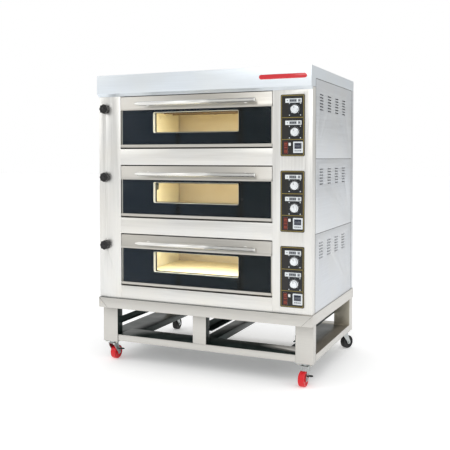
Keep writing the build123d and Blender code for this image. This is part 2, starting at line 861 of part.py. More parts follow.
def make_duct(deck):
    """Upright exhaust duct of one deck, with its branch to the chamber."""
    x0, x1, y0, y1 = duct_outline(deck)
    low = duct_bottom(deck)
    shape = block(x0, x1, y0, y1, low, total_height)
    shape += block(*branch_outer(deck))
    shape -= block(x0 + sheet, x1 - sheet, y0 + sheet, y1 - sheet, low + sheet, total_height + 1)
    a, b, c, d, e, f = branch_box(deck)
    shape -= block(a - 1, b + 1, c, d, e, f)
    shape -= rod("y", damper_spindle / 2 + running, y0 - 5, y1 + 5, damper_place(deck))
    return one(shape)


def make_damper(deck):
    """Lobed knob, long spindle and butterfly flap; they turn together."""
    x, z = damper_place(deck)
    y0, y1 = duct_outline(deck)[2:]
    r = damper_knob / 2
    face = front_y - knob_lift
    lobe_reach = r - damper_lobe / 2
    knob = rod("y", (r + lobe_reach) / 2, face - damper_knob_height, face, (x, z))
    for lobe in range(damper_lobes):
        angle = 2 * math.pi * lobe / damper_lobes
        cx = x + lobe_reach * math.cos(angle)
        cz = z + lobe_reach * math.sin(angle)
        knob += rod("y", damper_lobe / 2, face - damper_knob_height, face - damper_lobe_set, (cx, cz))
    spindle_front = face - damper_knob_height / 2
    knob -= rod("y", damper_spindle / 2, spindle_front, face + 5, (x, z))
    spindle_bar = rod("y", damper_spindle / 2, spindle_front, y1 + damper_spindle_end, (x, z))
    inner = duct_size[0] / 2 - sheet - damper_flap_gap
    gap = sheet + damper_flap_gap
    half = damper_flap / 2
    flap = block(x - inner, x + inner, y0 + gap, y1 - gap, z - half, z + half)
    return one(knob), one(spindle_bar + flap)


# ---- stand -------------------------------------------------------------------------------------
def stand_front():
    return front_y - rail_proud_front


def stand_back():
    return back_y + rail_proud_back


def middle_post():
    return post_offset - post_width / 2, post_offset + post_width / 2


def tube(x0, x1, y0, y1, z0, z1, run):
    """A rectangular tube along an axis, open at both ends."""
    w = tube_wall
    ends = {axis: (-1.0 if axis == run else w) for axis in "xyz"}
    x, y, z = ends["x"], ends["y"], ends["z"]
    return block(x0, x1, y0, y1, z0, z1) - block(x0 + x, x1 - x, y0 + y, y1 - y, z0 + z, z1 - z)


def capped_tube(x0, x1, y0, y1, z0, z1):
    """A rectangular tube along X with welded ends and a drain hole in its underside."""
    w = tube_wall
    shape = block(x0, x1, y0, y1, z0, z1) - block(x0 + w, x1 - w, y0 + w, y1 - w, z0 + w, z1 - w)
    place = (x0 + drain_inset, (y0 + y1) / 2)
    return shape - rod("z", drain_hole / 2, z0 - 1, z0 + w + 1, place)


def make_top_frame():
    """Welded top frame of the stand: four rails and a middle cross member."""
    edge = half_width + rail_proud_side
    y0 = stand_front()
    y1 = stand_back()
    p0, p1 = middle_post()
    front = y0 + rail_depth + leg_set_back
    back = y1 - rail_depth
    bars = [
        capped_tube(-edge, edge, y0, front, rail_bottom, rail_top),
        capped_tube(-edge, edge, back, y1, rail_bottom, rail_top),
        tube(-edge, -edge + rail_depth, front, back, rail_bottom, rail_top, "y"),
        tube(edge - rail_depth, edge, front, back, rail_bottom, rail_top, "y"),
        tube(p0, p1, front, back, rail_bottom, rail_top, "y"),
    ]
    return [one(bar) for bar in bars]


def leg_boxes():
    """Outline of each leg: name, x0, x1, y0, y1."""
    boxes = []
    for name, side in (("left", -1), ("right", 1)):
        x = sorted((side * leg_outer, side * leg_inner))
        boxes.append((f"front_{name}", *x, leg_front_y, leg_front_y + leg_front_depth))
        boxes.append((f"back_{name}", *x, leg_back_y, leg_back_y + leg_back_depth))
    return boxes


def post_faces():
    """Back of the front middle post and front of the back one."""
    return leg_front_y + leg_front_depth - post_inset, leg_back_y + post_inset


def make_legs():
    """Four legs and the front and back middle posts."""
    legs = []
    for _, *outline in leg_boxes():
        foot = block(*outline, stand_bottom, stand_bottom + tube_wall)
        legs.append(tube(*outline, stand_bottom, rail_bottom, "z") + foot)
    p0, p1 = middle_post()
    front, back = post_faces()
    post_depth = leg_front_depth - 2 * post_inset
    legs.append(tube(p0, p1, front - post_depth, front, low_rail_top, rail_bottom, "z"))
    legs.append(tube(p0, p1, back, back + post_depth, low_rail_top, rail_bottom, "z"))
    return [one(leg) for leg in legs]


def make_low_frame():
    """Low frame of the stand: front and back rails, side shelves and a middle member."""
    y0 = leg_front_y + low_rail_front_set
    y1 = leg_back_y + leg_back_depth - low_rail_back_set
    p0, p1 = middle_post()
    low = low_rail_bottom
    high = low_rail_top
    front = y0 + low_shelf_depth
    back = y1 - low_rail_depth
    bars = [
        tube(-leg_inner, leg_inner, y0, front, low, high, "x"),
        tube(-leg_inner, leg_inner, back, y1, low, high, "x"),
        tube(p0, p1, front, back, low, high, "y"),
    ]
    for side in (-1, 1):
        outer, leg, inner = side * leg_outer, side * leg_inner, side * (leg_outer - shelf_width)
        bar = tube(*sorted((outer, inner)), front, leg_back_y, low, high, "y")
        bar += tube(*sorted((outer, leg)), leg_front_y + leg_front_depth, front, low, high, "y")
        bar += tube(*sorted((leg, inner)), leg_back_y, back, low, high, "y")
        bars.append(bar)
    return [one(bar) for bar in bars]


def make_tray_slides():
    """Angle slides for trays under the oven: one at each side and a double one in the middle."""
    y0 = leg_front_y + slide_front_set
    y1 = leg_back_y + slide_back_lap
    z = low_rail_top + slide_lift
    t = slide_thickness
    slides = []
    for side in (-1, 1):
        inner = side * (leg_inner - slide_ledge)
        face = side * leg_inner
        flange = block(inner, face, y0, y1, z, z + t)
        web = block(face - side * t, face, y0, y1, z, z + slide_web)
        slides.append(one(flange + web))
    half = slide_flange / 2
    front, back = post_faces()
    flange = block(post_offset - half, post_offset + half, front, back, z, z + t)
    web = block(post_offset - t / 2, post_offset + t / 2, front, back, z, z + slide_web)
    slides.append(one(flange + web))
    return slides


# ---- castors -----------------------------------------------------------------------------------
def castor_places():
    """Name, swivel X, swivel Y, yaw and the side of the lever, -1 or 1, of each castor."""
    x = (leg_outer + leg_inner) / 2
    y_front = leg_front_y + leg_front_depth / 2
    y_back = back_y - back_castor_set
    return [
        ("front_left", -x, y_front, front_left_yaw, -1),
        ("front_right", x, y_front, front_right_yaw, 1),
        ("back_left", -x, y_back, back_left_yaw, -1),
        ("back_right", x, y_back, back_right_yaw, -1),
    ]


def placed(shape, place):
    """Turn a castor piece made about its swivel axis and move it to its corner.

    Pieces are made with the lever on the -X side, and are mirrored for a castor with it on the other.
    """
    _, x, y, yaw, side = place
    if side > 0:
        shape = mirror(shape, about=Plane.YZ)
    return Pos(x, y, 0) * Rot(0, 0, yaw) * shape


def make_castor_plate():
    """Top plate, bearing cup and king pin with its retaining collar."""
    w, d, t = castor_plate
    plate = block(-w / 2, w / 2, -d / 2, d / 2, stand_bottom - t, stand_bottom)
    for sx in (-1, 1):
        for sy in (-1, 1):
            place = (sx * (w / 2 - bolt_inset[0]), sy * (d / 2 - bolt_inset[1]))
            plate -= rod("z", castor_bolt / 2, stand_bottom - 9, stand_bottom + 1, place)
    cup_bottom = stand_bottom - t - head_height
    plate += rod("z", cup_diameter / 2, cup_bottom, stand_bottom - t, (0, 0))
    pin_bottom = cup_bottom - fork_top - 2 * castor_clearance
    plate += rod("z", king_pin / 2, pin_bottom - pin_collar[1], cup_bottom, (0, 0))
    plate += rod("z", pin_collar[0] / 2, pin_bottom - pin_collar[1], pin_bottom, (0, 0))
    return one(plate)


def fork_levels():
    """Top and underside of the fork's crown."""
    top = stand_bottom - castor_plate[2] - head_height - castor_clearance
    return top, top - fork_top


def make_fork(braked):
    """Pressed fork: a crown round the king pin and two legs down to the axle, and the axle bolt."""
    top, low = fork_levels()
    crown = rod("z", head_diameter / 2, low, top, (0, 0))
    half = wheel_width / 2 + fork_gap
    outer = half + fork_leg
    crown += block(-outer, outer, -head_diameter / 2, head_diameter / 2 - 6, low, top)
    legs = []
    z = wheel_radius
    y = -castor_trail
    r = fork_width / 2 - 3.0
    for side in (-1, 1):
        side_outline = Plane.YZ * make_face(
            Polyline(
                (-head_diameter / 2, top),
                (head_diameter / 2 - 6, top),
                (head_diameter / 2 - 10, top - 18),
                (y + r, z),
                (y - r, z),
                (-head_diameter / 2 - 2, top - 16),
                (-head_diameter / 2, top),
            )
        )
        leg = extrude(side_outline, amount=fork_leg, dir=(1, 0, 0))
        leg = Pos(half if side > 0 else -outer, 0, 0) * leg
        leg += rod("x", r, side * half, side * outer, (y, z))
        legs.append(leg)
    fork = crown + legs
    fork -= rod("z", king_pin / 2 + running, low - 5, top + 5, (0, 0))
    fork -= rod("x", axle_diameter / 2 + running, -outer - 5, outer + 5, (y, z))
    bolt = rod("x", axle_diameter / 2, -outer - 1, outer + 1, (y, z))
    for side in (-1, 1):
        head = rod("x", axle_head / 2, side * outer, side * (outer + axle_head_height), (y, z))
        bolt += head
    if braked:
        px, pz = pedal_pivot()
        lug_y = pedal_lug[1] / 2
        lug_z = pedal_lug[2] / 2
        lug = block(-outer, -outer - pedal_lug[0], y - lug_y, y + lug_y, pz - lug_z, pz + lug_z)
        fork += lug
        fork -= rod("y", pedal_pin + running, y - lug_y - 1, y + lug_y + 1, (px, pz))
    return one(fork), one(bolt)


def make_wheel():
    """Moulded wheel with rounded tread edges and a raised hub."""
    y = -castor_trail
    z = wheel_radius
    half = wheel_width / 2
    tread = rod("x", wheel_radius, -half, half, (y, z))
    tread = fillet(tread.edges().filter_by(GeomType.CIRCLE), tread_round)
    for side in (-1, 1):
        floor = side * (half - dish_depth)
        ring = rod("x", wheel_radius - rim_width, side * half, floor, (y, z))
        ring -= rod("x", hub_diameter / 2, side * (half + 1), floor - side, (y, z))
        tread -= ring
    tread -= rod("x", axle_diameter / 2 + running, -half - 1, half + 1, (y, z))
    return one(tread)


def pedal_pivot():
    """X and Z of the brake lever's pin, beside the fork's leg."""
    outer = wheel_width / 2 + fork_gap + fork_leg
    return -outer - pedal_lug[0] / 2, wheel_radius + pedal_lift


def make_pedal():
    """Brake lever: two round ears on a pin through the fork's lug, and a flared toe."""
    px, pz = pedal_pivot()
    y = -castor_trail
    inner = pedal_lug[1] / 2 + pedal_clearance
    outer = inner + pedal_ear
    ear_radius = pedal_lug[0] / 2 - pedal_clearance
    pieces = [rod("y", pedal_pin, y - outer, y + outer, (px, pz))]
    toe_start = px - pedal_lug[0] / 2 - pedal_clearance
    toe_end = px - pedal_length
    for side in (-1, 1):
        near = y + side * inner
        far = y + side * outer
        pieces.append(rod("y", ear_radius, near, far, (px, pz)))
        pieces.append(block(px, toe_start - pedal_ear, near, far, pz - ear_radius, pz + ear_radius))
    pad = block(toe_start, toe_end, y - pedal_width / 2, y + pedal_width / 2, pz, pz + ear_radius)
    corners = [e for e in pad.edges().filter_by(Axis.Z) if e.center().X < toe_end + 1]
    pieces.append(fillet(corners, pedal_toe_radius))
    return one(Part() + pieces)


def make_fasteners():
    """Bolts that hold the castor plates to the legs."""
    w, d, t = castor_plate
    bolts = []
    for place in castor_places():
        for sx in (-1, 1):
            for sy in (-1, 1):
                x = place[1] + sx * (w / 2 - bolt_inset[0])
                y = place[2] + sy * (d / 2 - bolt_inset[1])
                head = stand_bottom - t
                bolt = rod("z", castor_bolt / 2 - hole_gap, head, stand_bottom, (x, y))
                bolt += rod("z", bolt_head[0] / 2, head - bolt_head[1], head, (x, y))
                bolts.append(one(bolt))
    return bolts


def make_gland():
    """Cable entry at the back: a flanged collar with a nut inside the case."""
    x, z = gland_place()
    r = gland_diameter / 2
    neck = gland_bore / 2 + gland_wall
    inside = back_y - sheet
    shape = rod("y", r, back_y, back_y + gland_flange, (x, z))
    shape += rod("y", neck, back_y, back_y + gland_length, (x, z))
    shape += rod("y", neck, inside - gland_flange, back_y, (x, z))
    shape += rod("y", r, inside - gland_nut, inside, (x, z))
    shape -= rod("y", gland_bore / 2, back_y - 30, back_y + gland_length + 1, (x, z))
    return one(shape)


# ---- write every node --------------------------------------------------------------------------
write("top_hood", make_hood())
write("left_column", make_left_column())
write("right_column", make_right_column())
write("front_strips", *make_front_strips())
write("left_side_panels", *make_side_panels(-1))
write("right_side_panels", *make_side_panels(1))
write("rear_panel", make_rear_panel())
write("deck_shelves", *make_deck_shelves())
write("insulation", *[make_insulation(deck) for deck in deck_names])
write("hearth_plates", *[make_hearth(deck) for deck in deck_names])
write(
    "heating_elements",
    *[heater for deck in deck_names for upper in (True, False) for heater in make_elements(deck, upper)],
)
write("chamber_lamps", *[make_lamp(deck) for deck in deck_names])
write("control_panels", *[make_control_panel(deck) for deck in deck_names])
write("door_hinge_pins", *make_hinge_pins())
write("exhaust_ducts", *[make_duct(deck) for deck in deck_names])
write("switch_housings", *[make_switch_body(deck) for deck in deck_names])
write("timers", *[piece for deck in deck_names for piece in make_timer(deck)])
write(
    "thermostats",
    *[
        piece
        for deck in deck_names
        for drop, display in zip(dial_drops, display_drops)
        for piece in make_thermostat(deck, drop, display)
    ],
)
write("cable_gland", make_gland())

for deck in deck_names:
    write(f"baking_chamber_{deck}", make_chamber(deck))
    write(f"door_frame_{deck}", make_door_frame(deck), make_door_liner(deck))
    write(f"door_glass_{deck}", *make_door_glass(deck))
    write(f"door_handle_{deck}", *make_door_handle(deck))
    write(f"upper_knob_{deck}", make_knob(deck, dial_drops[0]))
    write(f"lower_knob_{deck}", make_knob(deck, dial_drops[1]))
    write(f"power_rocker_{deck}", make_rocker(deck))
    write(f"exhaust_damper_{deck}", *make_damper(deck))

write("stand_top_frame", *make_top_frame())
write("stand_legs", *make_legs())
write("stand_low_frame", *make_low_frame())
write("tray_slides", *make_tray_slides())
write("castor_plates", *[Pos(x, y, 0) * make_castor_plate() for _, x, y, _, _ in castor_places()])
write("castor_bolts", *make_fasteners())
for place in castor_places():
    name = place[0]
    braked = name.startswith("front")
    write(f"{name}_fork", *[placed(piece, place) for piece in make_fork(braked)])
    write(f"{name}_wheel", placed(make_wheel(), place))
    if braked:
        write(f"{name}_brake_pedal", placed(make_pedal(), place))
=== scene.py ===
"""Dresses the three-deck bakery oven: folded steel case, glazed doors, controls, stand and castors.

The frame gives every place; sizes that only concern the finish are properties of the panel.
"""
import json
import math

import bpy
from bpy.props import FloatProperty, FloatVectorProperty, IntProperty, PointerProperty
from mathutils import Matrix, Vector


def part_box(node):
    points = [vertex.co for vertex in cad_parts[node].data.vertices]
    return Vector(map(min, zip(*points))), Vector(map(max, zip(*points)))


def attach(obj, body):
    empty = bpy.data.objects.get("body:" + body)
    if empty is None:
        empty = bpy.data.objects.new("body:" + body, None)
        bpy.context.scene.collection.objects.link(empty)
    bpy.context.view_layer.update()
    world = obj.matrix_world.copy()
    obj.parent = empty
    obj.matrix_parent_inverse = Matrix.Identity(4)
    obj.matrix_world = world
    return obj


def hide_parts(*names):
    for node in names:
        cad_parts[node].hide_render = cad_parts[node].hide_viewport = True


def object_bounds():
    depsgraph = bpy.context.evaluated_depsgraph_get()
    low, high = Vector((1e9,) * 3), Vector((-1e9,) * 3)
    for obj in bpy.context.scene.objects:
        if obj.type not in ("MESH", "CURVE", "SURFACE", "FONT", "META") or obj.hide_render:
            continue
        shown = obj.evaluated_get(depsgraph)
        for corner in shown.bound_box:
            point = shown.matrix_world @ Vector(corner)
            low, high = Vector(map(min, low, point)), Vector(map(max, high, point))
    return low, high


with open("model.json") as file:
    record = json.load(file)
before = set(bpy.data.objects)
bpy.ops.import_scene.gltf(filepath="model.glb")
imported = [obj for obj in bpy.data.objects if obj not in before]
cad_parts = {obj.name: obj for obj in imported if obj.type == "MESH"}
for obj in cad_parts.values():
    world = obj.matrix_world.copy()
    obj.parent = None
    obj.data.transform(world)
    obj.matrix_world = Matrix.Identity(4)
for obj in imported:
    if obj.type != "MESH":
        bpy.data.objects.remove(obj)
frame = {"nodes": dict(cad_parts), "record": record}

bl_info = {
    "name": "Deck Oven",
    "version": (1, 0, 0),
    "blender": (4, 5, 0),
    "location": "3D View > Sidebar > Oven",
    "description": "Builds the finished skin of a three-deck bakery oven round its packed frame",
    "category": "Add Mesh",
}

CAD_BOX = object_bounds()
DECKS = (1, 2, 3)
STATIC = "case_and_stand"
TOP = CAD_BOX[1].z
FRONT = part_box("left_column")[0].y
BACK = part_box("rear_panel")[1].y


# ---- sizes and colours that a user would change -------------------------------------------------
def linear(hex_colour):
    """An sRGB hex colour as linear RGBA."""
    channels = [int(hex_colour[i:i + 2], 16) / 255 for i in (1, 3, 5)]
    return tuple(c / 12.92 if c <= 0.04045 else ((c + 0.055) / 1.055) ** 2.4 for c in channels) + (1.0,)


def length(name, description, default):
    return FloatProperty(name=name, description=description, default=default, min=0.0, unit="LENGTH")


def colour(name, description, default):
    return FloatVectorProperty(
        name=name, description=description, default=linear(default),
        size=4, subtype="COLOR", min=0.0, max=1.0,
    )


class OvenSizes(bpy.types.PropertyGroup):
    """Sizes of the finish, in metres."""

    sheet_edge: length("Sheet edge", "Rounding of the case's folded edges", 0.0006)
    rail_edge: length("Rail edge", "Rounding of the stand's tube corners", 0.0009)
    window_left: length("Window left", "Left edge of a door opening to its window", 0.199)
    window_width: length("Window width", "Clear width of a window", 0.494)
    window_height: length("Window height", "Clear height of a window", 0.110)
    window_drop: length("Window drop", "Top of a door to its window", 0.086)
    window_corner: length("Window corner", "Corner radius of a window", 0.008)
    print_line: length("Panel line", "Width of the lines printed on a control panel", 0.0028)
    vent_length: length("Vent length", "Length of a pressed vent hood", 0.066)
    vent_height: length("Vent height", "Height of a pressed vent hood", 0.0025)
    vent_open: length("Vent opening", "Height of slot that a vent hood leaves open", 0.0042)
    # The seam bead is a black fill that paints the shade of the seams' gaps.
    seam_bead: length("Seam bead", "Width of the sealant in the case's seams", 0.0026)
    vent_proud: length("Vent depth", "How far a vent hood stands out", 0.0038)
    badge_width: length("Badge width", "Width of the plain enamel badge", 0.250)
    badge_height: length("Badge height", "Height of the plain enamel badge", 0.026)
    dial_marks: IntProperty(name="Dial marks", description="Marks round each dial", default=21, min=5)


class OvenColours(bpy.types.PropertyGroup):
    """Colours of the finishes."""

    case: colour("Case", "Satin stainless sheet", "#E6E6E4")
    hood: colour("Hood", "Satin stainless sheet of the hood, with a cold cast", "#E3EAF1")
    # Painted shade: the sides are the same sheet as the front, tinted darker where they turn away from the
    # light.
    side: colour("Sides", "Satin stainless sheet of the sides", "#D6DADF")
    door: colour("Door trim", "Polished stainless of the doors", "#C3C1BC")
    # Painted shade: this dark tone stands for the shadow and dark reflection on the stand's inward-facing
    # steel.
    inner: colour("Shadowed steel", "Steel inside the stand, dulled by dust and oil", "#1D2B28")
    print_left: colour("Glass print", "Back print of the door glass at its left end", "#17212D")
    print_right: colour("Glass print end", "Back print of the door glass at its right end", "#010E14")
    chamber: colour("Chamber", "Heat-tinted aluminised steel of the baking chamber", "#F2EAD2")
    hearth: colour("Hearth", "Fired clay hearth", "#DDD0AC")
    panel: colour("Control panel", "Black printed control panel", "#15130F")
    panel_line: colour("Panel lines", "Gold-olive lines of the control panel", "#8C7B36")
    wheel: colour("Front wheels", "Red moulded polyurethane", "#D50F1D")
    badge: colour("Badge", "Plain red enamel of the badge", "#C8202B")


# ---- materials --------------------------------------------------------------------------------------
CLOUDY = (0.3, 0.7)  # most of a noise pattern's values lie in this span
RANGE = "ShaderNodeMapRange"
MIX = "ShaderNodeMix"
BUMP = "ShaderNodeBump"


def feed(tree, node, inputs):
    """Fills a node's inputs, each with a value, a socket or the first output of another node."""
    pairs = inputs.items() if isinstance(inputs, dict) else enumerate(inputs)
    for name, value in pairs:
        if isinstance(value, bpy.types.Node):
            value = next(socket for socket in value.outputs if socket.enabled)
        if isinstance(value, bpy.types.NodeSocket):
            tree.links.new(value, node.inputs[name])
        else:
            node.inputs[name].default_value = value


def add(tree, kind, inputs=(), **settings):
    """Adds a node with its settings and links."""
    node = tree.nodes.new(kind)
    for name, value in settings.items():
        setattr(node, name, value)
    feed(tree, node, inputs)
    return node


def start(name):
    """A new material with its shader, its output and the object coordinates."""
    material = bpy.data.materials.get(name)
    if material:
        return material, None, None, None
    material = bpy.data.materials.new(name)
    material.use_nodes = True
    tree = material.node_tree
    tree.nodes.clear()
    shader = add(tree, "ShaderNodeBsdfPrincipled")
    add(tree, "ShaderNodeOutputMaterial", {"Surface": shader.outputs[0]})
    coords = add(tree, "ShaderNodeTexCoord")
    return material, tree, shader, coords


def noise(tree, coords, size, detail=3.0, stretch=(1, 1, 1)):
    """A cloudy pattern with features of a real size in metres, drawn out along the axes."""
    scale = [s / size for s in stretch]
    placed = add(tree, "ShaderNodeMapping", {"Vector": coords.outputs["Object"], "Scale": scale})
    made = add(
        tree, "ShaderNodeTexNoise",
        {"Vector": placed.outputs[0], "Scale": 1.0, "Detail": detail, "Roughness": 0.55},
    )
    return made.outputs["Fac"]


def mottled(tree, pattern, most, first, second):
    """A colour that turns from the first towards the second, by at most a share, with a pattern."""
    share = add(tree, RANGE, (pattern, *CLOUDY, 0.0, most))
    return add(tree, MIX, {0: share, 6: first, 7: second}, data_type="RGBA")


def shade(colour_value, factor):
    """The colour made darker or lighter."""
    return tuple(min(1.0, c * factor) for c in colour_value[:3]) + (1.0,)


GRAIN = {"x": (0.02, 1, 1), "y": (1, 0.02, 1), "z": (1, 1, 0.02)}


def brushed_steel(name, base, grain, rough=0.30, streak=0.006, tint=0.05):
    """Stainless sheet, brushed one way: soft long streaks and slight cloudy tint from handling.

    The real brushing is under 0.5 mm and too fine to show, so the streaks are drawn 4 to 12 mm apart.
    """
    material, tree, shader, coords = start(name)
    if tree is None:
        return material
    lines = noise(tree, coords, streak, 2.0, GRAIN[grain])
    clouds = noise(tree, coords, 0.22, 2.0)
    fine = noise(tree, coords, 0.0012, 1.0, GRAIN[grain])
    darker = shade(base, 1.0 - tint * 2.2)
    streaked = mottled(tree, lines, 1.0, darker, base)
    warm = (base[0] * 0.985, base[1] * 0.955, base[2] * 0.90, 1.0)
    feed(tree, shader, {
        "Base Color": mottled(tree, clouds, 0.6, streaked, warm),
        "Metallic": 1.0,
        "Roughness": add(tree, RANGE, (lines, *CLOUDY, rough - 0.05, rough + 0.07)),
        "Normal": add(tree, BUMP, {"Height": fine, "Distance": 0.00004, "Strength": 0.5}),
    })
    return material


def stand_steel(name, base, inner):
    """Welded stainless tube: bright where it faces out; the faces turned inwards get a dark painted shade,
    for their shadow and the dark reflection of the oven's underside.

    The top of the right shelf gets a painted grey-brown sheen on its up-facing faces, and faces near the
    back a painted pale beige light.
    """
    material, tree, shader, coords = start(name)
    if tree is None:
        return material
    place = add(tree, "ShaderNodeSeparateXYZ", {"Vector": coords.outputs["Object"]})
    facing = add(tree, "ShaderNodeSeparateXYZ", {"Vector": coords.outputs["Normal"]})
    half = (CAD_BOX[1].x - CAD_BOX[0].x) / 2
    across = add(
        tree, "ShaderNodeMath", {0: place.outputs["X"], 1: facing.outputs["X"]}, operation="MULTIPLY"
    )
    along = add(
        tree, "ShaderNodeMath", {0: place.outputs["Y"], 1: facing.outputs["Y"]}, operation="MULTIPLY"
    )
    wide = add(tree, "ShaderNodeMath", {0: across.outputs[0], 1: half}, operation="DIVIDE")
    deep = add(tree, "ShaderNodeMath", {0: along.outputs[0], 1: BACK}, operation="DIVIDE")
    outward = add(tree, "ShaderNodeMath", {0: wide.outputs[0], 1: deep.outputs[0]}, operation="ADD")
    # Painted shade: faces that turn inwards get the dark inner colour in place of lit steel.
    bright = add(tree, RANGE, (outward.outputs[0], 0.45, 0.60, 0.0, 1.0))
    lines = noise(tree, coords, 0.007, 2.0, (0.05, 0.05, 1))
    dust = noise(tree, coords, 0.09, 3.0)
    outer = mottled(tree, lines, 1.0, shade(base, 0.95), base)
    # The dark painted shade of the inward faces, varied by a cloudy pattern.
    painted_shade = mottled(tree, dust, 1.0, shade(inner, 0.6), shade(inner, 1.6))
    # Painted light: up-facing faces near the right edge get a grey-brown sheen.
    upward = add(tree, RANGE, (facing.outputs["Z"], 0.5, 0.8, 0.0, 1.0))
    edge = add(tree, RANGE, (place.outputs["X"], half - 0.09, half - 0.05, 0.0, 1.0))
    lit_top_mask = add(tree, "ShaderNodeMath", {0: upward, 1: edge}, operation="MULTIPLY")
    painted_shade = add(tree, MIX, {0: lit_top_mask.outputs[0], 6: painted_shade, 7: linear("#8A8275")}, data_type="RGBA")
    # Painted light: faces near the back are painted a pale beige.
    rear = add(tree, RANGE, (place.outputs["Y"], BACK - 0.10, BACK - 0.06, 0.0, 0.8))
    painted_shade = add(tree, MIX, {0: rear, 6: painted_shade, 7: linear("#C9C1B0")}, data_type="RGBA")
    feed(tree, shader, {
        "Base Color": add(tree, MIX, {0: bright, 6: painted_shade, 7: outer}, data_type="RGBA"),
        "Metallic": add(tree, RANGE, (bright, 0.0, 1.0, 0.35, 1.0)),
        "Roughness": add(tree, RANGE, (lines, *CLOUDY, 0.30, 0.42)),
        "Normal": add(tree, BUMP, {"Height": dust, "Distance": 0.0003, "Strength": 0.3}),
    })
    return material


def plain_paint(name, base, rough=0.45, grain=0.004, speck=0.08, metallic=0.0, depth=0.00006, coat=0.0):
    """A painted, moulded or plated surface with a fine even texture and a slight unevenness of tone."""
    material, tree, shader, coords = start(name)
    if tree is None:
        return material
    fine = noise(tree, coords, grain, 3.0)
    broad = noise(tree, coords, grain * 14, 2.0)
    toned = mottled(tree, fine, 1.0, shade(base, 1 - speck), shade(base, 1 + speck))
    feed(tree, shader, {
        "Base Color": mottled(tree, broad, 0.5, toned, shade(base, 0.9)),
        "Roughness": add(tree, RANGE, (broad, *CLOUDY, rough - 0.05, rough + 0.06)),
        "Metallic": metallic,
        "Coat Weight": coat,
        "Normal": add(tree, BUMP, {"Height": fine, "Distance": depth, "Strength": 0.6}),
    })
    return material


def clear_glass(name, tint, gloss=0.06):
    """Thin heat-proof pane: almost clear, with a faint sharp reflection and light smears."""
    material, tree, shader, coords = start(name)
    if tree is None:
        return material
    smear = noise(tree, coords, 0.05, 4.0, (1, 1, 0.4))
    feed(tree, shader, {
        "Base Color": (1, 1, 1, 1),
        "Metallic": 1.0,
        "Roughness": add(tree, RANGE, (smear, *CLOUDY, gloss, gloss + 0.06)),
    })
    through = add(tree, "ShaderNodeBsdfTransparent", {"Color": tint})
    edge = add(tree, "ShaderNodeFresnel", {"IOR": 1.45})
    weak = add(tree, "ShaderNodeMath", {0: edge.outputs[0], 1: 0.16}, operation="MULTIPLY")
    both = add(
        tree, "ShaderNodeMixShader",
        {0: weak.outputs[0], 1: through.outputs[0], 2: shader.outputs[0]},
    )
    output = next(n for n in tree.nodes if n.type == "OUTPUT_MATERIAL")
    tree.links.new(both.outputs[0], output.inputs["Surface"])
    return material


def glass_print(name, left, right, bands):
    """Dark ceramic print fired on the back of a door pane: slate at the left, deep teal at the right.

    The print is darker in two upright bands.
    """
    material, tree, shader, coords = start(name)
    if tree is None:
        return material
    place = add(tree, "ShaderNodeSeparateXYZ", {"Vector": coords.outputs["Object"]})
    low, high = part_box("door_glass_1")
    across = add(tree, RANGE, (place.outputs["X"], low.x + 0.1, high.x - 0.1, 0.0, 1.0))
    cloud = noise(tree, coords, 0.12, 3.0)
    toned = add(tree, MIX, {0: across, 6: left, 7: right}, data_type="RGBA")
    toned = mottled(tree, cloud, 0.35, toned, shade(left, 0.55))
    for middle, width in bands:
        offset = add(tree, "ShaderNodeMath", {0: place.outputs["X"], 1: middle}, operation="SUBTRACT")
        distance = add(tree, "ShaderNodeMath", {0: offset.outputs[0]}, operation="ABSOLUTE")
        inside = add(tree, RANGE, (distance.outputs[0], width * 0.5, width * 0.7, 1.0, 0.0))
        toned = add(tree, MIX, {0: inside, 6: toned, 7: linear("#010304")}, data_type="RGBA")
    feed(tree, shader, {
        "Base Color": toned,
        "Roughness": add(tree, RANGE, (cloud, *CLOUDY, 0.25, 0.40)),
        "Specular IOR Level": 0.12,
    })
    return material


def chamber_steel(name, base):
    """Aluminised steel tinted gold by heat, with painted light and shade: paler by the door and lamp,
    browner towards the back.

    The flange round the mouth is painted near-black.
    """
    material, tree, shader, coords = start(name)
    if tree is None:
        return material
    place = add(tree, "ShaderNodeSeparateXYZ", {"Vector": coords.outputs["Object"]})
    low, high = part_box("baking_chamber_1")
    back = add(tree, RANGE, (place.outputs["Y"], high.y - 0.03, high.y - 0.004, 0.0, 1.0))
    across = add(tree, RANGE, (place.outputs["X"], low.x, high.x - 0.2, 0.0, 1.0))
    cloud = noise(tree, coords, 0.08, 4.0)
    side = mottled(tree, cloud, 0.5, base, shade(base, 0.9))
    # Painted shade: the back wall is browner than the sides, and painted lighter towards the right.
    rear = add(tree, MIX, {0: across, 6: linear("#CDC2B2"), 7: linear("#DCCFB4")}, data_type="RGBA")
    rear = mottled(tree, cloud, 0.4, rear, linear("#BDAE9A"))
    inside = add(tree, MIX, {0: back, 6: side, 7: rear}, data_type="RGBA")
    flange = add(tree, RANGE, (place.outputs["Y"], low.y + 0.0021, low.y + 0.0024, 1.0, 0.0))
    dark_flange = add(tree, MIX, {0: flange, 6: inside, 7: linear("#17130F")}, data_type="RGBA")
    feed(tree, shader, {
        "Base Color": dark_flange,
        "Metallic": 0.25,
        "Roughness": add(tree, RANGE, (cloud, *CLOUDY, 0.42, 0.6)),
        "Normal": add(
            tree, BUMP, {"Height": noise(tree, coords, 0.003, 2.0), "Distance": 0.0001, "Strength": 0.4}
        ),
    })
    return material


def glowing(name, base, strength):
    """Warm lamp glass, bright when the oven is on."""
    material, tree, shader, coords = start(name)
    if tree is None:
        return material
    frost = noise(tree, coords, 0.004, 2.0)
    feed(tree, shader, {
        "Base Color": mottled(tree, frost, 1.0, shade(base, 0.9), base),
        "Emission Color": base,
        "Emission Strength": strength,
        "Roughness": add(tree, RANGE, (frost, *CLOUDY, 0.2, 0.4)),
    })
    return material


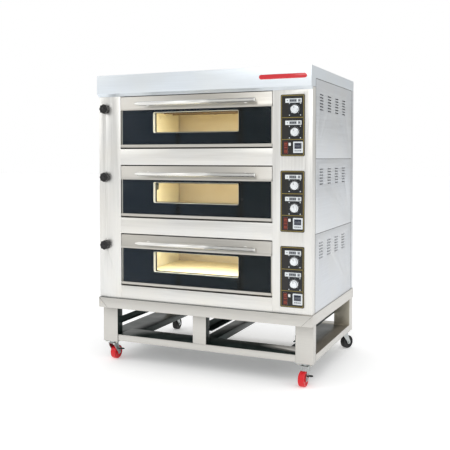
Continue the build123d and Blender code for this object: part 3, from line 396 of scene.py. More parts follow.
def enamel(name, base):
    """Vitreous enamel: smooth, wet-looking colour with very slight orange peel."""
    return plain_paint(name, base, rough=0.16, grain=0.006, speck=0.03, depth=0.00003, coat=0.6)


def black_abs(name, tone="#0B0B0C", rough=0.42):
    """Black moulded ABS with a fine spark-eroded texture, 1.5 mm so that it shows."""
    return plain_paint(name, linear(tone), rough=rough, grain=0.0015, speck=0.15)


def zinc_plate(name, tone="#B9BDBC"):
    """Bright zinc plating on pressed steel, with the cloudy spangle of the passivating bath."""
    return plain_paint(name, linear(tone), rough=0.32, grain=0.003, speck=0.10, metallic=1.0)


# ---- modelling helpers --------------------------------------------------------------------------
def deselect():
    if bpy.context.object and bpy.context.object.mode != "OBJECT":
        bpy.ops.object.mode_set(mode="OBJECT")
    bpy.ops.object.select_all(action="DESELECT")


def activate(obj):
    deselect()
    obj.select_set(True)
    bpy.context.view_layer.objects.active = obj


def cube(name, low, high):
    """A box between two corners, ready to be shaped."""
    deselect()
    low, high = Vector(low), Vector(high)
    bpy.ops.mesh.primitive_cube_add(size=1.0, location=(low + high) / 2, scale=high - low)
    obj = bpy.context.object
    bpy.ops.object.transform_apply(location=True, rotation=True, scale=True)
    obj.name = name
    return obj


TURNS = {"x": (0.0, math.pi / 2, 0.0), "y": (math.pi / 2, 0.0, 0.0), "z": (0.0, 0.0, 0.0)}


def drum(name, axis, radius, middle, thickness, sides=32):
    """A round disc or bar along an axis, ready to be shaped."""
    deselect()
    bpy.ops.mesh.primitive_cylinder_add(
        vertices=sides, radius=radius, depth=thickness, location=middle, rotation=TURNS[axis]
    )
    obj = bpy.context.object
    bpy.ops.object.transform_apply(location=True, rotation=True, scale=True)
    obj.name = name
    return obj


def apply_modifier(obj, kind, **settings):
    activate(obj)
    made = obj.modifiers.new(kind.title(), kind)
    for key, value in settings.items():
        setattr(made, key, value)
    bpy.ops.object.modifier_apply(modifier=made.name)
    return obj


def smooth(obj, angle=32.0):
    activate(obj)
    bpy.ops.object.shade_smooth_by_angle(angle=math.radians(angle))
    return obj


def rounded(obj, width, segments=2, angle=30.0):
    """Rounds every sharp edge."""
    apply_modifier(
        obj, "BEVEL", width=width, segments=segments, limit_method="ANGLE",
        angle_limit=math.radians(angle), harden_normals=False, use_clamp_overlap=True,
    )
    return smooth(obj, 40.0)


def round_uprights(obj, axis, width, segments=6, test=lambda middle: True):
    """Rounds the edges that run along an axis."""
    activate(obj)
    index = "xyz".index(axis)
    mesh = obj.data
    bpy.ops.object.mode_set(mode="EDIT")
    bpy.ops.mesh.select_mode(type="EDGE")
    bpy.ops.mesh.select_all(action="DESELECT")
    bpy.ops.object.mode_set(mode="OBJECT")
    for edge in mesh.edges:
        a, b = (mesh.vertices[v].co for v in edge.vertices)
        run = (b - a).normalized()
        edge.select = abs(run[index]) > 0.99 and test((a + b) / 2)
    bpy.ops.object.mode_set(mode="EDIT")
    bpy.ops.mesh.bevel(offset=width, segments=segments, affect="EDGES", clamp_overlap=True)
    bpy.ops.object.mode_set(mode="OBJECT")
    return obj


def pick_faces(obj, test):
    """Selects, in edit mode, the faces whose normal and middle pass the test."""
    activate(obj)
    bpy.ops.object.mode_set(mode="EDIT")
    bpy.ops.mesh.select_mode(type="FACE")
    bpy.ops.mesh.select_all(action="DESELECT")
    bpy.ops.object.mode_set(mode="OBJECT")
    for face in obj.data.polygons:
        face.select = bool(test(face.normal, face.center))
    bpy.ops.object.mode_set(mode="EDIT")


def leave_edit():
    bpy.ops.object.mode_set(mode="OBJECT")


def join(name, pieces):
    """Joins pieces into one object."""
    deselect()
    for piece in pieces:
        piece.select_set(True)
    bpy.context.view_layer.objects.active = pieces[0]
    if len(pieces) > 1:
        bpy.ops.object.join()
    pieces[0].name = name
    return pieces[0]


def duplicate(obj, offset):
    """A copy with its own mesh, moved by an offset, with its place in its mesh."""
    activate(obj)
    bpy.ops.object.duplicate(linked=False)
    copy = bpy.context.object
    copy.location = Vector(offset)
    bpy.ops.object.transform_apply(location=True, rotation=True, scale=True)
    return copy


def cut(obj, tool):
    """Takes a tool's shape out of an object and removes the tool."""
    apply_modifier(obj, "BOOLEAN", object=tool, operation="DIFFERENCE", solver="EXACT")
    deselect()
    bpy.data.objects.remove(tool)
    return obj


def place(obj, body, material, slot_name, *replaced):
    """Gives a finished piece its material and its body, and hides the nodes that it stands for."""
    obj.data.materials.clear()
    obj.data.materials.append(material)
    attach(obj, body)
    if replaced:
        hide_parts(*replaced)
    return obj


def skin(node, name, edge, segments=2, angle=30.0):
    """A merged copy of a node with its edges rounded."""
    source = frame["nodes"][node]
    obj = bpy.data.objects.new(name, source.data.copy())
    bpy.context.scene.collection.objects.link(obj)
    activate(obj)
    bpy.ops.object.mode_set(mode="EDIT")
    bpy.ops.mesh.select_all(action="SELECT")
    bpy.ops.mesh.remove_doubles(threshold=0.00001)
    bpy.ops.mesh.dissolve_limited(angle_limit=math.radians(0.6))
    bpy.ops.object.mode_set(mode="OBJECT")
    if edge > 0:
        return rounded(obj, edge, segments, angle)
    return smooth(obj)


def finish_node(node, material):
    """Gives a CAD node that keeps its shape a better material."""
    for material_slot in frame["nodes"][node].material_slots:
        material_slot.material = material


def middle_of(node):
    low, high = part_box(node)
    return (low + high) / 2


def door_top(deck):
    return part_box(f"door_frame_{deck}")[1].z


def window_corners(deck, grow=0.0):
    """Low and high X and Z of a door's window."""
    size = bpy.context.scene.oven_sizes
    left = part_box("front_strips")[0].x + size.window_left
    top = door_top(deck) - size.window_drop
    return left - grow, left + size.window_width + grow, top - size.window_height - grow, top + grow


def window_block(name, deck, grow, y0, y1):
    """A block with the window's rounded outline."""
    x0, x1, z0, z1 = window_corners(deck, grow)
    obj = cube(name, (x0, y0, z0), (x1, y1, z1))
    return round_uprights(obj, "y", bpy.context.scene.oven_sizes.window_corner + grow)


def box_where(node, test):
    """Lowest and highest corner of the part of a node whose points pass a test."""
    found = [v.co for v in frame["nodes"][node].data.vertices if test(v.co)]
    low = Vector([min(c[i] for c in found) for i in range(3)])
    high = Vector([max(c[i] for c in found) for i in range(3)])
    return low, high


def in_deck(deck):
    """Test for points that lie within a deck's height."""
    high = door_top(deck) + 0.02
    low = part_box(f"door_frame_{deck}")[0].z - 0.09
    return lambda point: low < point.z < high


def body_of(node):
    bodies = frame["record"]["behaviour"]["bodies"]
    return next(name for name, nodes in bodies.items() if node in nodes)


def slot_of(node):
    return next(part["material_slot"] for part in frame["record"]["subparts"] if part["node"] == node)


def reskin(node, material, edge, segments=2, angle=30.0):
    """Stands a rounded copy in for a node, on its body."""
    obj = skin(node, f"{node}_skin", edge, segments, angle)
    return place(obj, body_of(node), material, slot_of(node), node)


def turned(obj, turn, middle):
    """Turns a piece made at the origin about the Y axis and moves it to its place."""
    activate(obj)
    bpy.ops.object.mode_set(mode="EDIT")
    bpy.ops.mesh.select_all(action="SELECT")
    bpy.ops.transform.rotate(value=turn, orient_axis="Y", center_override=(0, 0, 0))
    bpy.ops.object.mode_set(mode="OBJECT")
    obj.location = Vector(middle)
    bpy.ops.object.transform_apply(location=True, rotation=True, scale=True)
    return obj


def keep_within(obj, box):
    """Brings back vertices that rounding a butt joint has pushed out of the node's box."""
    for vertex in obj.data.vertices:
        for axis in range(3):
            vertex.co[axis] = min(max(vertex.co[axis], box[0][axis]), box[1][axis])
    return obj


def tile(name, x, z, y, radius=0.0, edge=0.0):
    """A thin plate facing the front; x, z and y are pairs."""
    obj = cube(name, (x[0], y[0], z[0]), (x[1], y[1], z[1]))
    if radius > 0:
        round_uprights(obj, "y", radius, 4)
    return rounded(obj, edge) if edge > 0 else smooth(obj)


def window_ring(name, x, z, y, border, radius):
    """A flat border with a rounded opening, facing the front."""
    obj = cube(name, (x[0], y[0], z[0]), (x[1], y[1], z[1]))
    round_uprights(obj, "y", radius, 4)
    hole = cube(
        "hole", (x[0] + border, y[0] - 0.01, z[0] + border), (x[1] - border, y[1] + 0.01, z[1] - border)
    )
    round_uprights(hole, "y", max(radius - border, 0.0005), 4)
    return smooth(cut(obj, hole))


class OvenPart:
    """What every operator of the oven shares."""

    bl_options = {"REGISTER", "UNDO"}


# ---- case ---------------------------------------------------------------------------------------
class OVEN_OT_case(OvenPart, bpy.types.Operator):
    """Folded stainless hood, columns, strips, side and back panels"""

    bl_idname = "oven.case"
    bl_label = "Case Panels"

    def execute(self, context):
        size = context.scene.oven_sizes
        tone = context.scene.oven_colours
        front = brushed_steel("Satin_stainless_front", tone.case, "x", 0.40)
        upright = brushed_steel("Satin_stainless_upright", tone.case, "z", 0.40)
        hood = brushed_steel("Satin_stainless_hood", tone.hood, "x", 0.42, tint=0.03)
        # The sides' darker tone is painted shade.
        side = brushed_steel("Satin_stainless_side", tone.side, "y", 0.42, tint=0.05)
        reskin("top_hood", hood, size.sheet_edge)
        for node in ("left_column", "right_column"):
            reskin(node, upright, size.sheet_edge)
        reskin("front_strips", front, size.sheet_edge)
        for node in ("left_side_panels", "right_side_panels", "rear_panel"):
            reskin(node, side, size.sheet_edge)
        return {"FINISHED"}


class OVEN_OT_vents(OvenPart, bpy.types.Operator):
    """Pressed hoods over the vent slots of the right side"""

    bl_idname = "oven.vents"
    bl_label = "Vent Hoods"

    def execute(self, context):
        size = context.scene.oven_sizes
        steel = brushed_steel("Satin_stainless_side", context.scene.oven_colours.side, "y", 0.36)
        face = CAD_BOX[1].x - 0.004
        rows, columns, pitch, column_pitch = 6, 4, 0.015, 0.148
        slot_drop, first_column, panel_inset = 0.015, 0.159, 0.0565
        for deck in DECKS:
            slot_low = door_top(deck) - slot_drop
            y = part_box("right_side_panels")[0].y + first_column - panel_inset
            hood = self.hood(size, face, y, slot_low + size.vent_open)
            column = [duplicate(hood, (0, 0, -pitch * row)) for row in range(1, rows)]
            first = join("column", [hood] + column)
            others = [duplicate(first, (0, column_pitch * k, 0)) for k in range(1, columns)]
            block = join(f"vent_hoods_{deck}", [first] + others)
            place(smooth(block, 50.0), STATIC, steel, "satin_stainless")
        return {"FINISHED"}

    def hood(self, size, face, y, z):
        """One hood: a thin pressed lip over a slot, closed at its ends and open underneath."""
        half = size.vent_length / 2
        obj = cube(
            "hood", (face - 0.0002, y - half, z), (face + size.vent_proud, y + half, z + size.vent_height)
        )
        pick_faces(obj, lambda normal, middle: normal.z > 0.9)
        bpy.ops.transform.resize(value=(0.2, 0.9, 1), center_override=(face, y, z))
        bpy.ops.mesh.select_all(action="DESELECT")
        leave_edit()
        pick_faces(obj, lambda normal, middle: normal.z < -0.9 or normal.x < -0.9)
        bpy.ops.mesh.delete(type="FACE")
        leave_edit()
        return apply_modifier(obj, "SOLIDIFY", thickness=0.0006, offset=-1.0)


class OVEN_OT_seams(OvenPart, bpy.types.Operator):
    """Black beads in the seams between the case's panels: a dark fill that paints the shade of the seams'
    gaps
    """

    bl_idname = "oven.seams"
    bl_label = "Seam Shade Beads"

    def execute(self, context):
        width = context.scene.oven_sizes.seam_bead
        # Painted shade: the black beads darken the seams as the shadow lines of their gaps.
        black = plain_paint("Black_seam_shade_bead", linear("#131313"), rough=0.5, grain=0.0015, speck=0.2)
        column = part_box("right_column")
        for side, name in ((-1, "left"), (1, "right")):
            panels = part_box(f"{name}_side_panels")
            edge = side * column[1].x
            x = sorted((edge - side * 0.0012, edge + side * 0.0003))
            beads = []
            levels = [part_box("deck_shelves")[0].z + (door_top(deck) - door_top(3)) for deck in (1, 2)]
            for level in levels + [panels[1].z + 0.00075]:
                z = (level - 0.00075 - width / 2, level - 0.00075 + width / 2)
                beads.append(cube("bead", (x[0], panels[0].y, z[0]), (x[1], panels[1].y, z[1])))
            for y in (panels[0].y - 0.00075, panels[1].y + 0.00075):
                z = (panels[0].z, panels[1].z)
                beads.append(cube("bead", (x[0], y - width / 2, z[0]), (x[1], y + width / 2, z[1])))
            place(rounded(join(f"seam_beads_{name}", beads), 0.0002), STATIC, black, "damper_black")
        return {"FINISHED"}


class OVEN_OT_badge(OvenPart, bpy.types.Operator):
    """Plain red enamel badge on the hood, without lettering"""

    bl_idname = "oven.badge"
    bl_label = "Enamel Badge"

    def execute(self, context):
        size = context.scene.oven_sizes
        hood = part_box("top_hood")
        middle_x = middle_of("control_panels").x - 0.045
        middle_z = hood[1].z - 0.050
        x = (middle_x - size.badge_width / 2, middle_x + size.badge_width / 2)
        z = (middle_z - size.badge_height / 2, middle_z + size.badge_height / 2)
        y = hood[0].y
        rim = tile("badge_rim", x, z, (y - 0.0012, y), size.badge_height * 0.45, 0.0003)
        place(rim, STATIC, brushed_steel("Bright_rim", (0.9, 0.9, 0.9, 1), "x", 0.15), "polished_stainless")
        inset = 0.0014
        inner_x = (x[0] + inset, x[1] - inset)
        inner_z = (z[0] + inset, z[1] - inset)
        face = tile(
            "badge_enamel", inner_x, inner_z, (y - 0.0017, y - 0.0010), size.badge_height * 0.42, 0.0002
        )
        place(face, STATIC, enamel("Red_enamel", context.scene.oven_colours.badge), "red_wheel")
        return {"FINISHED"}


# ---- doors --------------------------------------------------------------------------------------
class OVEN_OT_doors(OvenPart, bpy.types.Operator):
    """Door trays, glass with its fired print, window sleeves and seals"""

    bl_idname = "oven.doors"
    bl_label = "Glazed Doors"

    def execute(self, context):
        size = context.scene.oven_sizes
        tone = context.scene.oven_colours
        steel = brushed_steel("Polished_door_steel", tone.door, "x", 0.38, 0.010, 0.03)
        clear = clear_glass("Toughened_glass", (0.97, 0.985, 0.98, 1.0))
        bands = [(window_corners(1)[0] + 0.148, 0.020), (window_corners(1)[1] + 0.010, 0.028)]
        printed = glass_print("Fired_glass_print", tone.print_left, tone.print_right, bands)
        # Painted highlight: the sleeve's white stands for the light caught by the bright metal of the
        # window's jamb.
        sleeve = plain_paint(
            "White_sleeve_highlight", linear("#EDEAE2"), rough=0.35, grain=0.003, speck=0.04
        )
        rubber = plain_paint("Black_silicone_seal", linear("#0C0C0C"), rough=0.6, grain=0.0012, speck=0.2)
        for deck in DECKS:
            body = f"door_{deck}"
            reskin(f"door_frame_{deck}", steel, size.sheet_edge)
            low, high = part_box(f"door_glass_{deck}")
            pane_back = low.y + 0.005
            pane = tile(
                f"front_pane_{deck}", (low.x, high.x), (low.z, high.z), (low.y, pane_back), 0.002, 0.0006
            )
            place(pane, body, clear, "door_glass", f"door_glass_{deck}")
            ring = cube(
                f"glass_print_{deck}",
                (low.x, pane_back + 0.00004, low.z),
                (high.x, pane_back + 0.00026, high.z),
            )
            cut(ring, window_block("hole", deck, 0.0, low.y - 0.01, low.y + 0.03))
            place(smooth(ring), body, printed, "black_panel")
            inner = window_block(f"inner_pane_{deck}", deck, -0.0005, high.y - 0.004, high.y)
            place(smooth(inner), body, clear, "door_glass")
            tunnel = window_block(
                f"window_sleeve_{deck}", deck, -0.0001, pane_back + 0.0004, high.y - 0.0045
            )
            cut(tunnel, window_block("hole", deck, -0.0014, low.y - 0.01, high.y + 0.03))
            place(smooth(tunnel), body, sleeve, "polished_stainless")
            seal = window_block(f"window_seal_{deck}", deck, -0.0016, high.y - 0.0085, high.y - 0.0045)
            cut(seal, window_block("hole", deck, -0.0050, low.y - 0.01, high.y + 0.03))
            place(rounded(seal, 0.0008), body, rubber, "damper_black")
        return {"FINISHED"}


class OVEN_OT_handles(OvenPart, bpy.types.Operator):
    """Tube handles with a rosette at the foot of each post"""

    bl_idname = "oven.handles"
    bl_label = "Door Handles"

    def execute(self, context):
        tone = context.scene.oven_colours
        steel = brushed_steel("Polished_handle_tube", tone.case, "x", 0.30, 0.012, 0.01)
        for deck in DECKS:
            node = f"door_handle_{deck}"
            reskin(node, steel, 0.0004, 2, 50.0)
            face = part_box(f"door_glass_{deck}")[0].y - 0.001
            low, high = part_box(node)
            behind = low.y + 0.030
            posts = box_where(node, lambda point: point.y > behind)
            post = 0.014
            for index, x in enumerate((posts[0].x + post / 2, posts[1].x - post / 2)):
                z = (low.z + high.z) / 2
                foot = drum(
                    f"handle_rosette_{deck}_{index + 1}", "y", 0.0125, (x, face - 0.0011, z), 0.0022, 40
                )
                place(rounded(foot, 0.0007), f"door_{deck}", steel, "polished_stainless")
        return {"FINISHED"}


# ---- chambers -----------------------------------------------------------------------------------
class OVEN_OT_chambers(OvenPart, bpy.types.Operator):
    """Heat-tinted chambers with hearths, heaters, lamps, seals and screws"""

    bl_idname = "oven.chambers"
    bl_label = "Baking Chambers"

    def execute(self, context):
        tone = context.scene.oven_colours
        steel = chamber_steel("Heat_tinted_chamber", tone.chamber)
        stone = plain_paint(
            "Fired_clay_hearth", tone.hearth, rough=0.8, grain=0.002, speck=0.14, depth=0.0002
        )
        sheath = plain_paint(
            "Nickel_heater_sheath", linear("#7A6A5C"), rough=0.4, grain=0.002, speck=0.2, metallic=1.0
        )
        glass = glowing("Lamp_glass", linear("#FFE9B8"), 3.0)
        rope = plain_paint("Braided_door_seal", linear("#3B3A37"), rough=0.9, grain=0.0015, speck=0.35)
        screw = plain_paint(
            "Oxidised_screw", linear("#2A1F16"), rough=0.5, grain=0.001, speck=0.2, metallic=0.8
        )
        finish_node("hearth_plates", stone)
        finish_node("heating_elements", sheath)
        finish_node("chamber_lamps", glass)
        for deck in DECKS:
            node = f"baking_chamber_{deck}"
            finish_node(node, steel)
            self.seal(deck, node, rope)
            self.screws(deck, node, screw)
            self.light(deck, node)
        return {"FINISHED"}

    def seal(self, deck, node, rope):
        """Flat braided seal on the chamber's front flange, round its mouth."""
        mouth = self.mouth(node)
        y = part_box(node)[0].y
        ring = window_ring(
            f"door_seal_{deck}", (mouth[0].x - 0.009, mouth[1].x + 0.009),
            (mouth[0].z - 0.009, mouth[1].z + 0.009), (y - 0.0018, y), 0.007, 0.010,
        )
        place(rounded(ring, 0.0006), STATIC, rope, "damper_black")

    def mouth(self, node):
        """Inside of the chamber: its walls lie 2 mm inside the box behind the flange."""
        wall = 0.002
        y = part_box(node)[1].y - 0.001
        low, high = box_where(node, lambda point: point.y > y)
        return low + Vector((wall, 0, wall)), high - Vector((wall, 0, wall))

    def screws(self, deck, node, screw):
        """Three screws near the top of the back wall, which hold the heater cover."""
        low, high = self.mouth(node)
        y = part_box(node)[1].y - 0.002
        radius, thickness, drop = 0.007, 0.003, 0.022
        heads = []
        for x in (-0.216, -0.090, 0.033):
            head = drum("screw", "y", radius, (x, y - thickness / 2, high.z - drop), thickness, 24)
            heads.append(rounded(head, 0.0009))
        place(join(f"chamber_screws_{deck}", heads), STATIC, screw, "zinc_plated")

    def light(self, deck, node):
        """Warm light of the chamber lamp."""
        low, high = self.mouth(node)
        deselect()
        depth = (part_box(node)[0].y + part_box(node)[1].y) / 2
        bpy.ops.object.light_add(
            type="AREA", location=((low.x + high.x) / 2 - 0.05, depth - 0.12, high.z - 0.004)
        )
        lamp = bpy.context.object
        lamp.name = f"chamber_light_{deck}"
        lamp.data.shape = "RECTANGLE"
        lamp.data.size = 0.6
        lamp.data.size_y = 0.25
        lamp.data.energy = 3.8
        lamp.data.color = linear("#FFFAF0")[:3]
        lamp.visible_camera = False
        lamp.visible_glossy = False


# ---- controls -----------------------------------------------------------------------------------
class OVEN_OT_panels(OvenPart, bpy.types.Operator):
    """Black control panels with their printed lines, displays, dials, switches and timers"""

    bl_idname = "oven.panels"
    bl_label = "Control Panels"

    def execute(self, context):
        tone = context.scene.oven_colours
        black = plain_paint("Black_polycarbonate_panel", tone.panel, rough=0.38, grain=0.0015, speck=0.2)
        self.olive = plain_paint(
            "Olive_printed_line", tone.panel_line, rough=0.45, grain=0.0015, speck=0.15
        )
        self.slate = plain_paint(
            "Slate_printed_field", linear("#0E151B"), rough=0.3, grain=0.0015, speck=0.2
        )
        self.white = plain_paint("White_print", linear("#DDE2E4"), rough=0.45, grain=0.001, speck=0.06)
        self.grey = plain_paint("Grey_display_window", linear("#8E9297"), rough=0.3, grain=0.001, speck=0.1)
        self.dark = plain_paint("Dark_segments", linear("#30343A"), rough=0.3, grain=0.001, speck=0.1)
        self.red = plain_paint("Dark_red_field", linear("#57120D"), rough=0.4, grain=0.0015, speck=0.2)
        self.amber = plain_paint("Amber_print", linear("#B4552F"), rough=0.4, grain=0.001, speck=0.1)
        self.pale = plain_paint("Pale_ABS_timer", linear("#D9DEE2"), rough=0.4, grain=0.0015, speck=0.05)
        self.lcd = plain_paint("Blue_LCD", linear("#101C33"), rough=0.12, grain=0.001, speck=0.15, coat=0.6)
        finish_node("thermostats", black_abs("Black_ABS_thermostat"))
        finish_node("timers", self.pale)
        finish_node("switch_housings", black_abs("Black_ABS_switch"))
        reskin("control_panels", black, 0.0005)
        for deck in DECKS:
            here = in_deck(deck)
            panel = box_where("control_panels", here)
            self.face = panel[0].y
            self.lines(deck, panel)
            knobs = [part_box(f"{which}_knob_{deck}") for which in ("upper", "lower")]
            for which, knob in zip(("upper", "lower"), knobs):
                self.dial(deck, which, knob)
                self.display(deck, which, knob)
            self.timer(deck)
            self.meter(deck)
        return {"FINISHED"}

    def flat(self, name, x, z, material, slot_name, lift=0.0, thick=0.0004, radius=0.0):
        """A printed or inlaid field on the panel's face, lifted off it."""
        y = self.face - lift
        return place(tile(name, x, z, (y - thick, y), radius), STATIC, material, slot_name)

    def lines(self, deck, panel):
        """Olive border and the two dividers between the control groups."""
        low, high = panel
        width = bpy.context.scene.oven_sizes.print_line
        inset = 0.0035
        x = (low.x + inset, high.x - inset)
        z = (low.z + inset, high.z - inset)
        border = window_ring(f"panel_border_{deck}", x, z, (self.face - 0.0003, self.face), width, 0.005)
        place(border, STATIC, self.olive, "black_panel")
        knobs = [middle_of(f"{which}_knob_{deck}").z for which in ("upper", "lower")]
        for index, level in enumerate((knobs[0] - 0.040, knobs[1] - 0.036)):
            self.flat(
                f"panel_divider_{deck}_{index + 1}",
                x,
                (level - width / 2, level + width / 2),
                self.olive,
                "black_panel",
                0.0,
                0.0003,
            )

    def dial(self, deck, which, knob):
        """Slate field, ring of marks round the knob and its corner ticks."""
        middle = (knob[0] + knob[1]) / 2
        half = 0.033
        name = f"{deck}_{which}"
        x = (middle.x - half, middle.x + half)
        z = (middle.z - half, middle.z + half)
        field = tile(f"dial_field_{name}", x, z, (self.face - 0.0003, self.face), 0.003)
        cut(field, drum("hole", "y", 0.0271, (middle.x, self.face, middle.z), 0.01, 64))
        place(smooth(field), STATIC, self.slate, "black_panel")
        marks = []
        count = bpy.context.scene.oven_sizes.dial_marks
        dial_face = self.face - 0.002
        for index in range(count):
            long_mark = index % 5 == 0
            turn = math.radians(-135 + 270 * index / (count - 1))
            reach = 0.0238
            long = 0.0044 if long_mark else 0.0026
            wide = 0.0012 if long_mark else 0.0008
            mark = cube("mark", (-wide / 2, dial_face - 0.0002, -long / 2), (wide / 2, dial_face, long / 2))
            offset = (middle.x + reach * math.sin(turn), 0, middle.z + reach * math.cos(turn))
            marks.append(turned(mark, turn, offset))
        corner = half - 0.0045
        for sx in (-1, 1):
            for sz in (-1, 1):
                x = middle.x + sx * corner
                z = middle.z + sz * corner
                tick = cube(
                    "tick",
                    (x - 0.0022, self.face - 0.0006, z - 0.0022),
                    (x + 0.0022, self.face - 0.0003, z + 0.0022),
                )
                marks.append(tick)
        place(join(f"dial_marks_{name}", marks), STATIC, self.white, "pale_plastic")

    def display(self, deck, which, knob):
        """White bar with a grey reading window, dark segments and a lamp."""
        top = knob[1].z + 0.008
        face = self.face
        low, high = box_where("thermostats", lambda p: p.y < face - 0.0005 and top < p.z < top + 0.042)
        name = f"{deck}_{which}"
        front = low.y
        bar = tile(
            f"display_bar_{name}", (low.x, high.x), (low.z, high.z), (front - 0.0006, front), 0.002, 0.0002
        )
        place(bar, STATIC, self.white, "pale_plastic")
        width = high.x - low.x
        tall = high.z - low.z
        pieces = (
            ("window", 0.26, 0.70, 0.14, 0.86, self.grey),
            ("lamp_field", 0.78, 0.95, 0.16, 0.84, self.grey),
        )
        for label, a, b, c, d, material in pieces:
            x = (low.x + width * a, low.x + width * b)
            z = (low.z + tall * c, low.z + tall * d)
            field = tile(f"display_{label}_{name}", x, z, (front - 0.0009, front - 0.0005), 0.0006)
            place(field, STATIC, material, "pale_plastic")
        marks = []
        for step in range(4):
            x = low.x + width * (0.32 + 0.105 * step)
            marks.append(
                cube(
                    "segment",
                    (x - 0.0028, front - 0.0012, low.z + tall * 0.32),
                    (x + 0.0028, front - 0.0008, low.z + tall * 0.68),
                ),
            )
        marks.append(
            cube(
                "arrow",
                (low.x + width * 0.10, front - 0.0010, low.z + tall * 0.42),
                (low.x + width * 0.16, front - 0.0005, low.z + tall * 0.58),
            ),
        )
        marks.append(
            drum(
                "dot", "y", 0.0028, (low.x + width * 0.865, front - 0.0011, low.z + tall * 0.5), 0.0006, 24
            ),
        )
        place(join(f"display_segments_{name}", marks), STATIC, self.dark, "black_panel")

    def timer(self, deck):
        """Timer's dark window and its row of membrane keys."""
        here = in_deck(deck)
        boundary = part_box("switch_housings")[1].x + 0.004
        face = self.face
        low, high = box_where("timers", lambda p: here(p) and p.x > boundary and p.y < face - 0.001)
        front = low.y
        width = high.x - low.x
        tall = high.z - low.z
        rim = tile(
            f"timer_frame_{deck}", (low.x, high.x), (low.z, high.z), (front - 0.0010, front), 0.003, 0.0005
        )
        place(rim, STATIC, self.pale, "pale_plastic")
        x = (low.x + width * 0.13, high.x - width * 0.13)
        z = (low.z + tall * 0.36, high.z - tall * 0.12)
        glass = tile(f"timer_window_{deck}", x, z, (front - 0.0015, front - 0.0008), 0.0015, 0.0002)
        place(glass, STATIC, self.lcd, "black_panel")
        marks = []
        for step in range(4):
            middle = x[0] + (x[1] - x[0]) * (0.2 + 0.2 * step)
            level = z[0] + (z[1] - z[0]) * 0.5
            marks.append(
                window_ring(
                    "digit",
                    (middle - 0.0022, middle + 0.0022),
                    (level - 0.004, level + 0.004),
                    (front - 0.0018, front - 0.0014),
                    0.0008,
                    0.0005,
                ),
            )
        place(join(f"timer_digits_{deck}", marks), STATIC, self.grey, "pale_plastic")
        keys = []
        for step in range(4):
            middle = x[0] + (x[1] - x[0]) * (0.125 + 0.25 * step)
            level = low.z + tall * 0.19
            key = tile(
                "key",
                (middle - 0.0036, middle + 0.0036),
                (level - 0.0032, level + 0.0032),
                (front - 0.0022, front - 0.0008),
                0.001,
                0.0003,
            )
            keys.append(key)
        place(join(f"timer_keys_{deck}", keys), STATIC, self.grey, "pale_plastic")

    def meter(self, deck):
        """Dark red field with amber lines beside the switch."""
        here = in_deck(deck)
        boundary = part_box("switch_housings")[0].x
        face = self.face
        low, high = box_where("timers", lambda p: here(p) and p.x < boundary and p.y < face - 0.0005)
        front = low.y
        field = tile(
            f"meter_field_{deck}", (low.x, high.x), (low.z, high.z), (front - 0.0004, front), 0.001
        )
        place(field, STATIC, self.red, "black_panel")
        lines = []
        tall = high.z - low.z
        for share in (0.14, 0.24, 0.52, 0.72, 0.84):
            z = low.z + tall * share
            lines.append(
                cube(
                    "line",
                    (low.x + 0.003, front - 0.0007, z - 0.0009),
                    (high.x - 0.003, front - 0.0003, z + 0.0009),
                ),
            )
        place(join(f"meter_lines_{deck}", lines), STATIC, self.amber, "black_panel")


class OVEN_OT_knobs(OvenPart, bpy.types.Operator):
    """Thermostat knobs with their pointers, and the switch rockers"""

    bl_idname = "oven.knobs"
    bl_label = "Knobs and Switches"

    def execute(self, context):
        silver = plain_paint(
            "Silvered_ABS_knob", linear("#E9EDF0"), rough=0.25, grain=0.0015, speck=0.04, metallic=0.35
        )
        pointer = black_abs("Black_pointer_print", "#202428")
        white = plain_paint("White_ABS_rocker", linear("#E4E6E6"), rough=0.35, grain=0.0015, speck=0.05)
        for deck in DECKS:
            for which in ("upper", "lower"):
                node = f"{which}_knob_{deck}"
                reskin(node, silver, 0.0004, 2, 35.0)
                low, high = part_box(node)
                middle = (low + high) / 2
                mark = tile(
                    f"{which}_pointer_{deck}", (middle.x - 0.0009, middle.x + 0.0009),
                    (middle.z + 0.005, middle.z + 0.0128), (low.y - 0.0003, low.y + 0.0004), 0.0004,
                )
                place(mark, node, pointer, "black_panel")
            reskin(f"power_rocker_{deck}", white, 0.0003)
        return {"FINISHED"}


# ---- exhaust ------------------------------------------------------------------------------------
class OVEN_OT_exhaust(OvenPart, bpy.types.Operator):
    """Damper knobs, and the collars of the ducts on the hood"""

    bl_idname = "oven.exhaust"
    bl_label = "Exhaust"

    def execute(self, context):
        black = black_abs("Black_bakelite_damper", "#0A0A0B", 0.3)
        gloss = black_abs("Black_damper_cap", "#161617", 0.22)
        galvanised = plain_paint(
            "Galvanised_duct", linear("#AEB4B6"), rough=0.45, grain=0.012, speck=0.18, metallic=0.9
        )
        finish_node("exhaust_ducts", galvanised)
        for deck in DECKS:
            node = f"exhaust_damper_{deck}"
            finish_node(node, black)
            low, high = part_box(node)
            knob = box_where(node, lambda point: point.y < low.y + 0.001)
            middle = (knob[0] + knob[1]) / 2
            cap = drum(f"damper_cap_{deck}", "y", 0.009, (middle.x, low.y - 0.0004, middle.z), 0.0012, 32)
            place(rounded(cap, 0.0004), node, gloss, "damper_black")
        return {"FINISHED"}


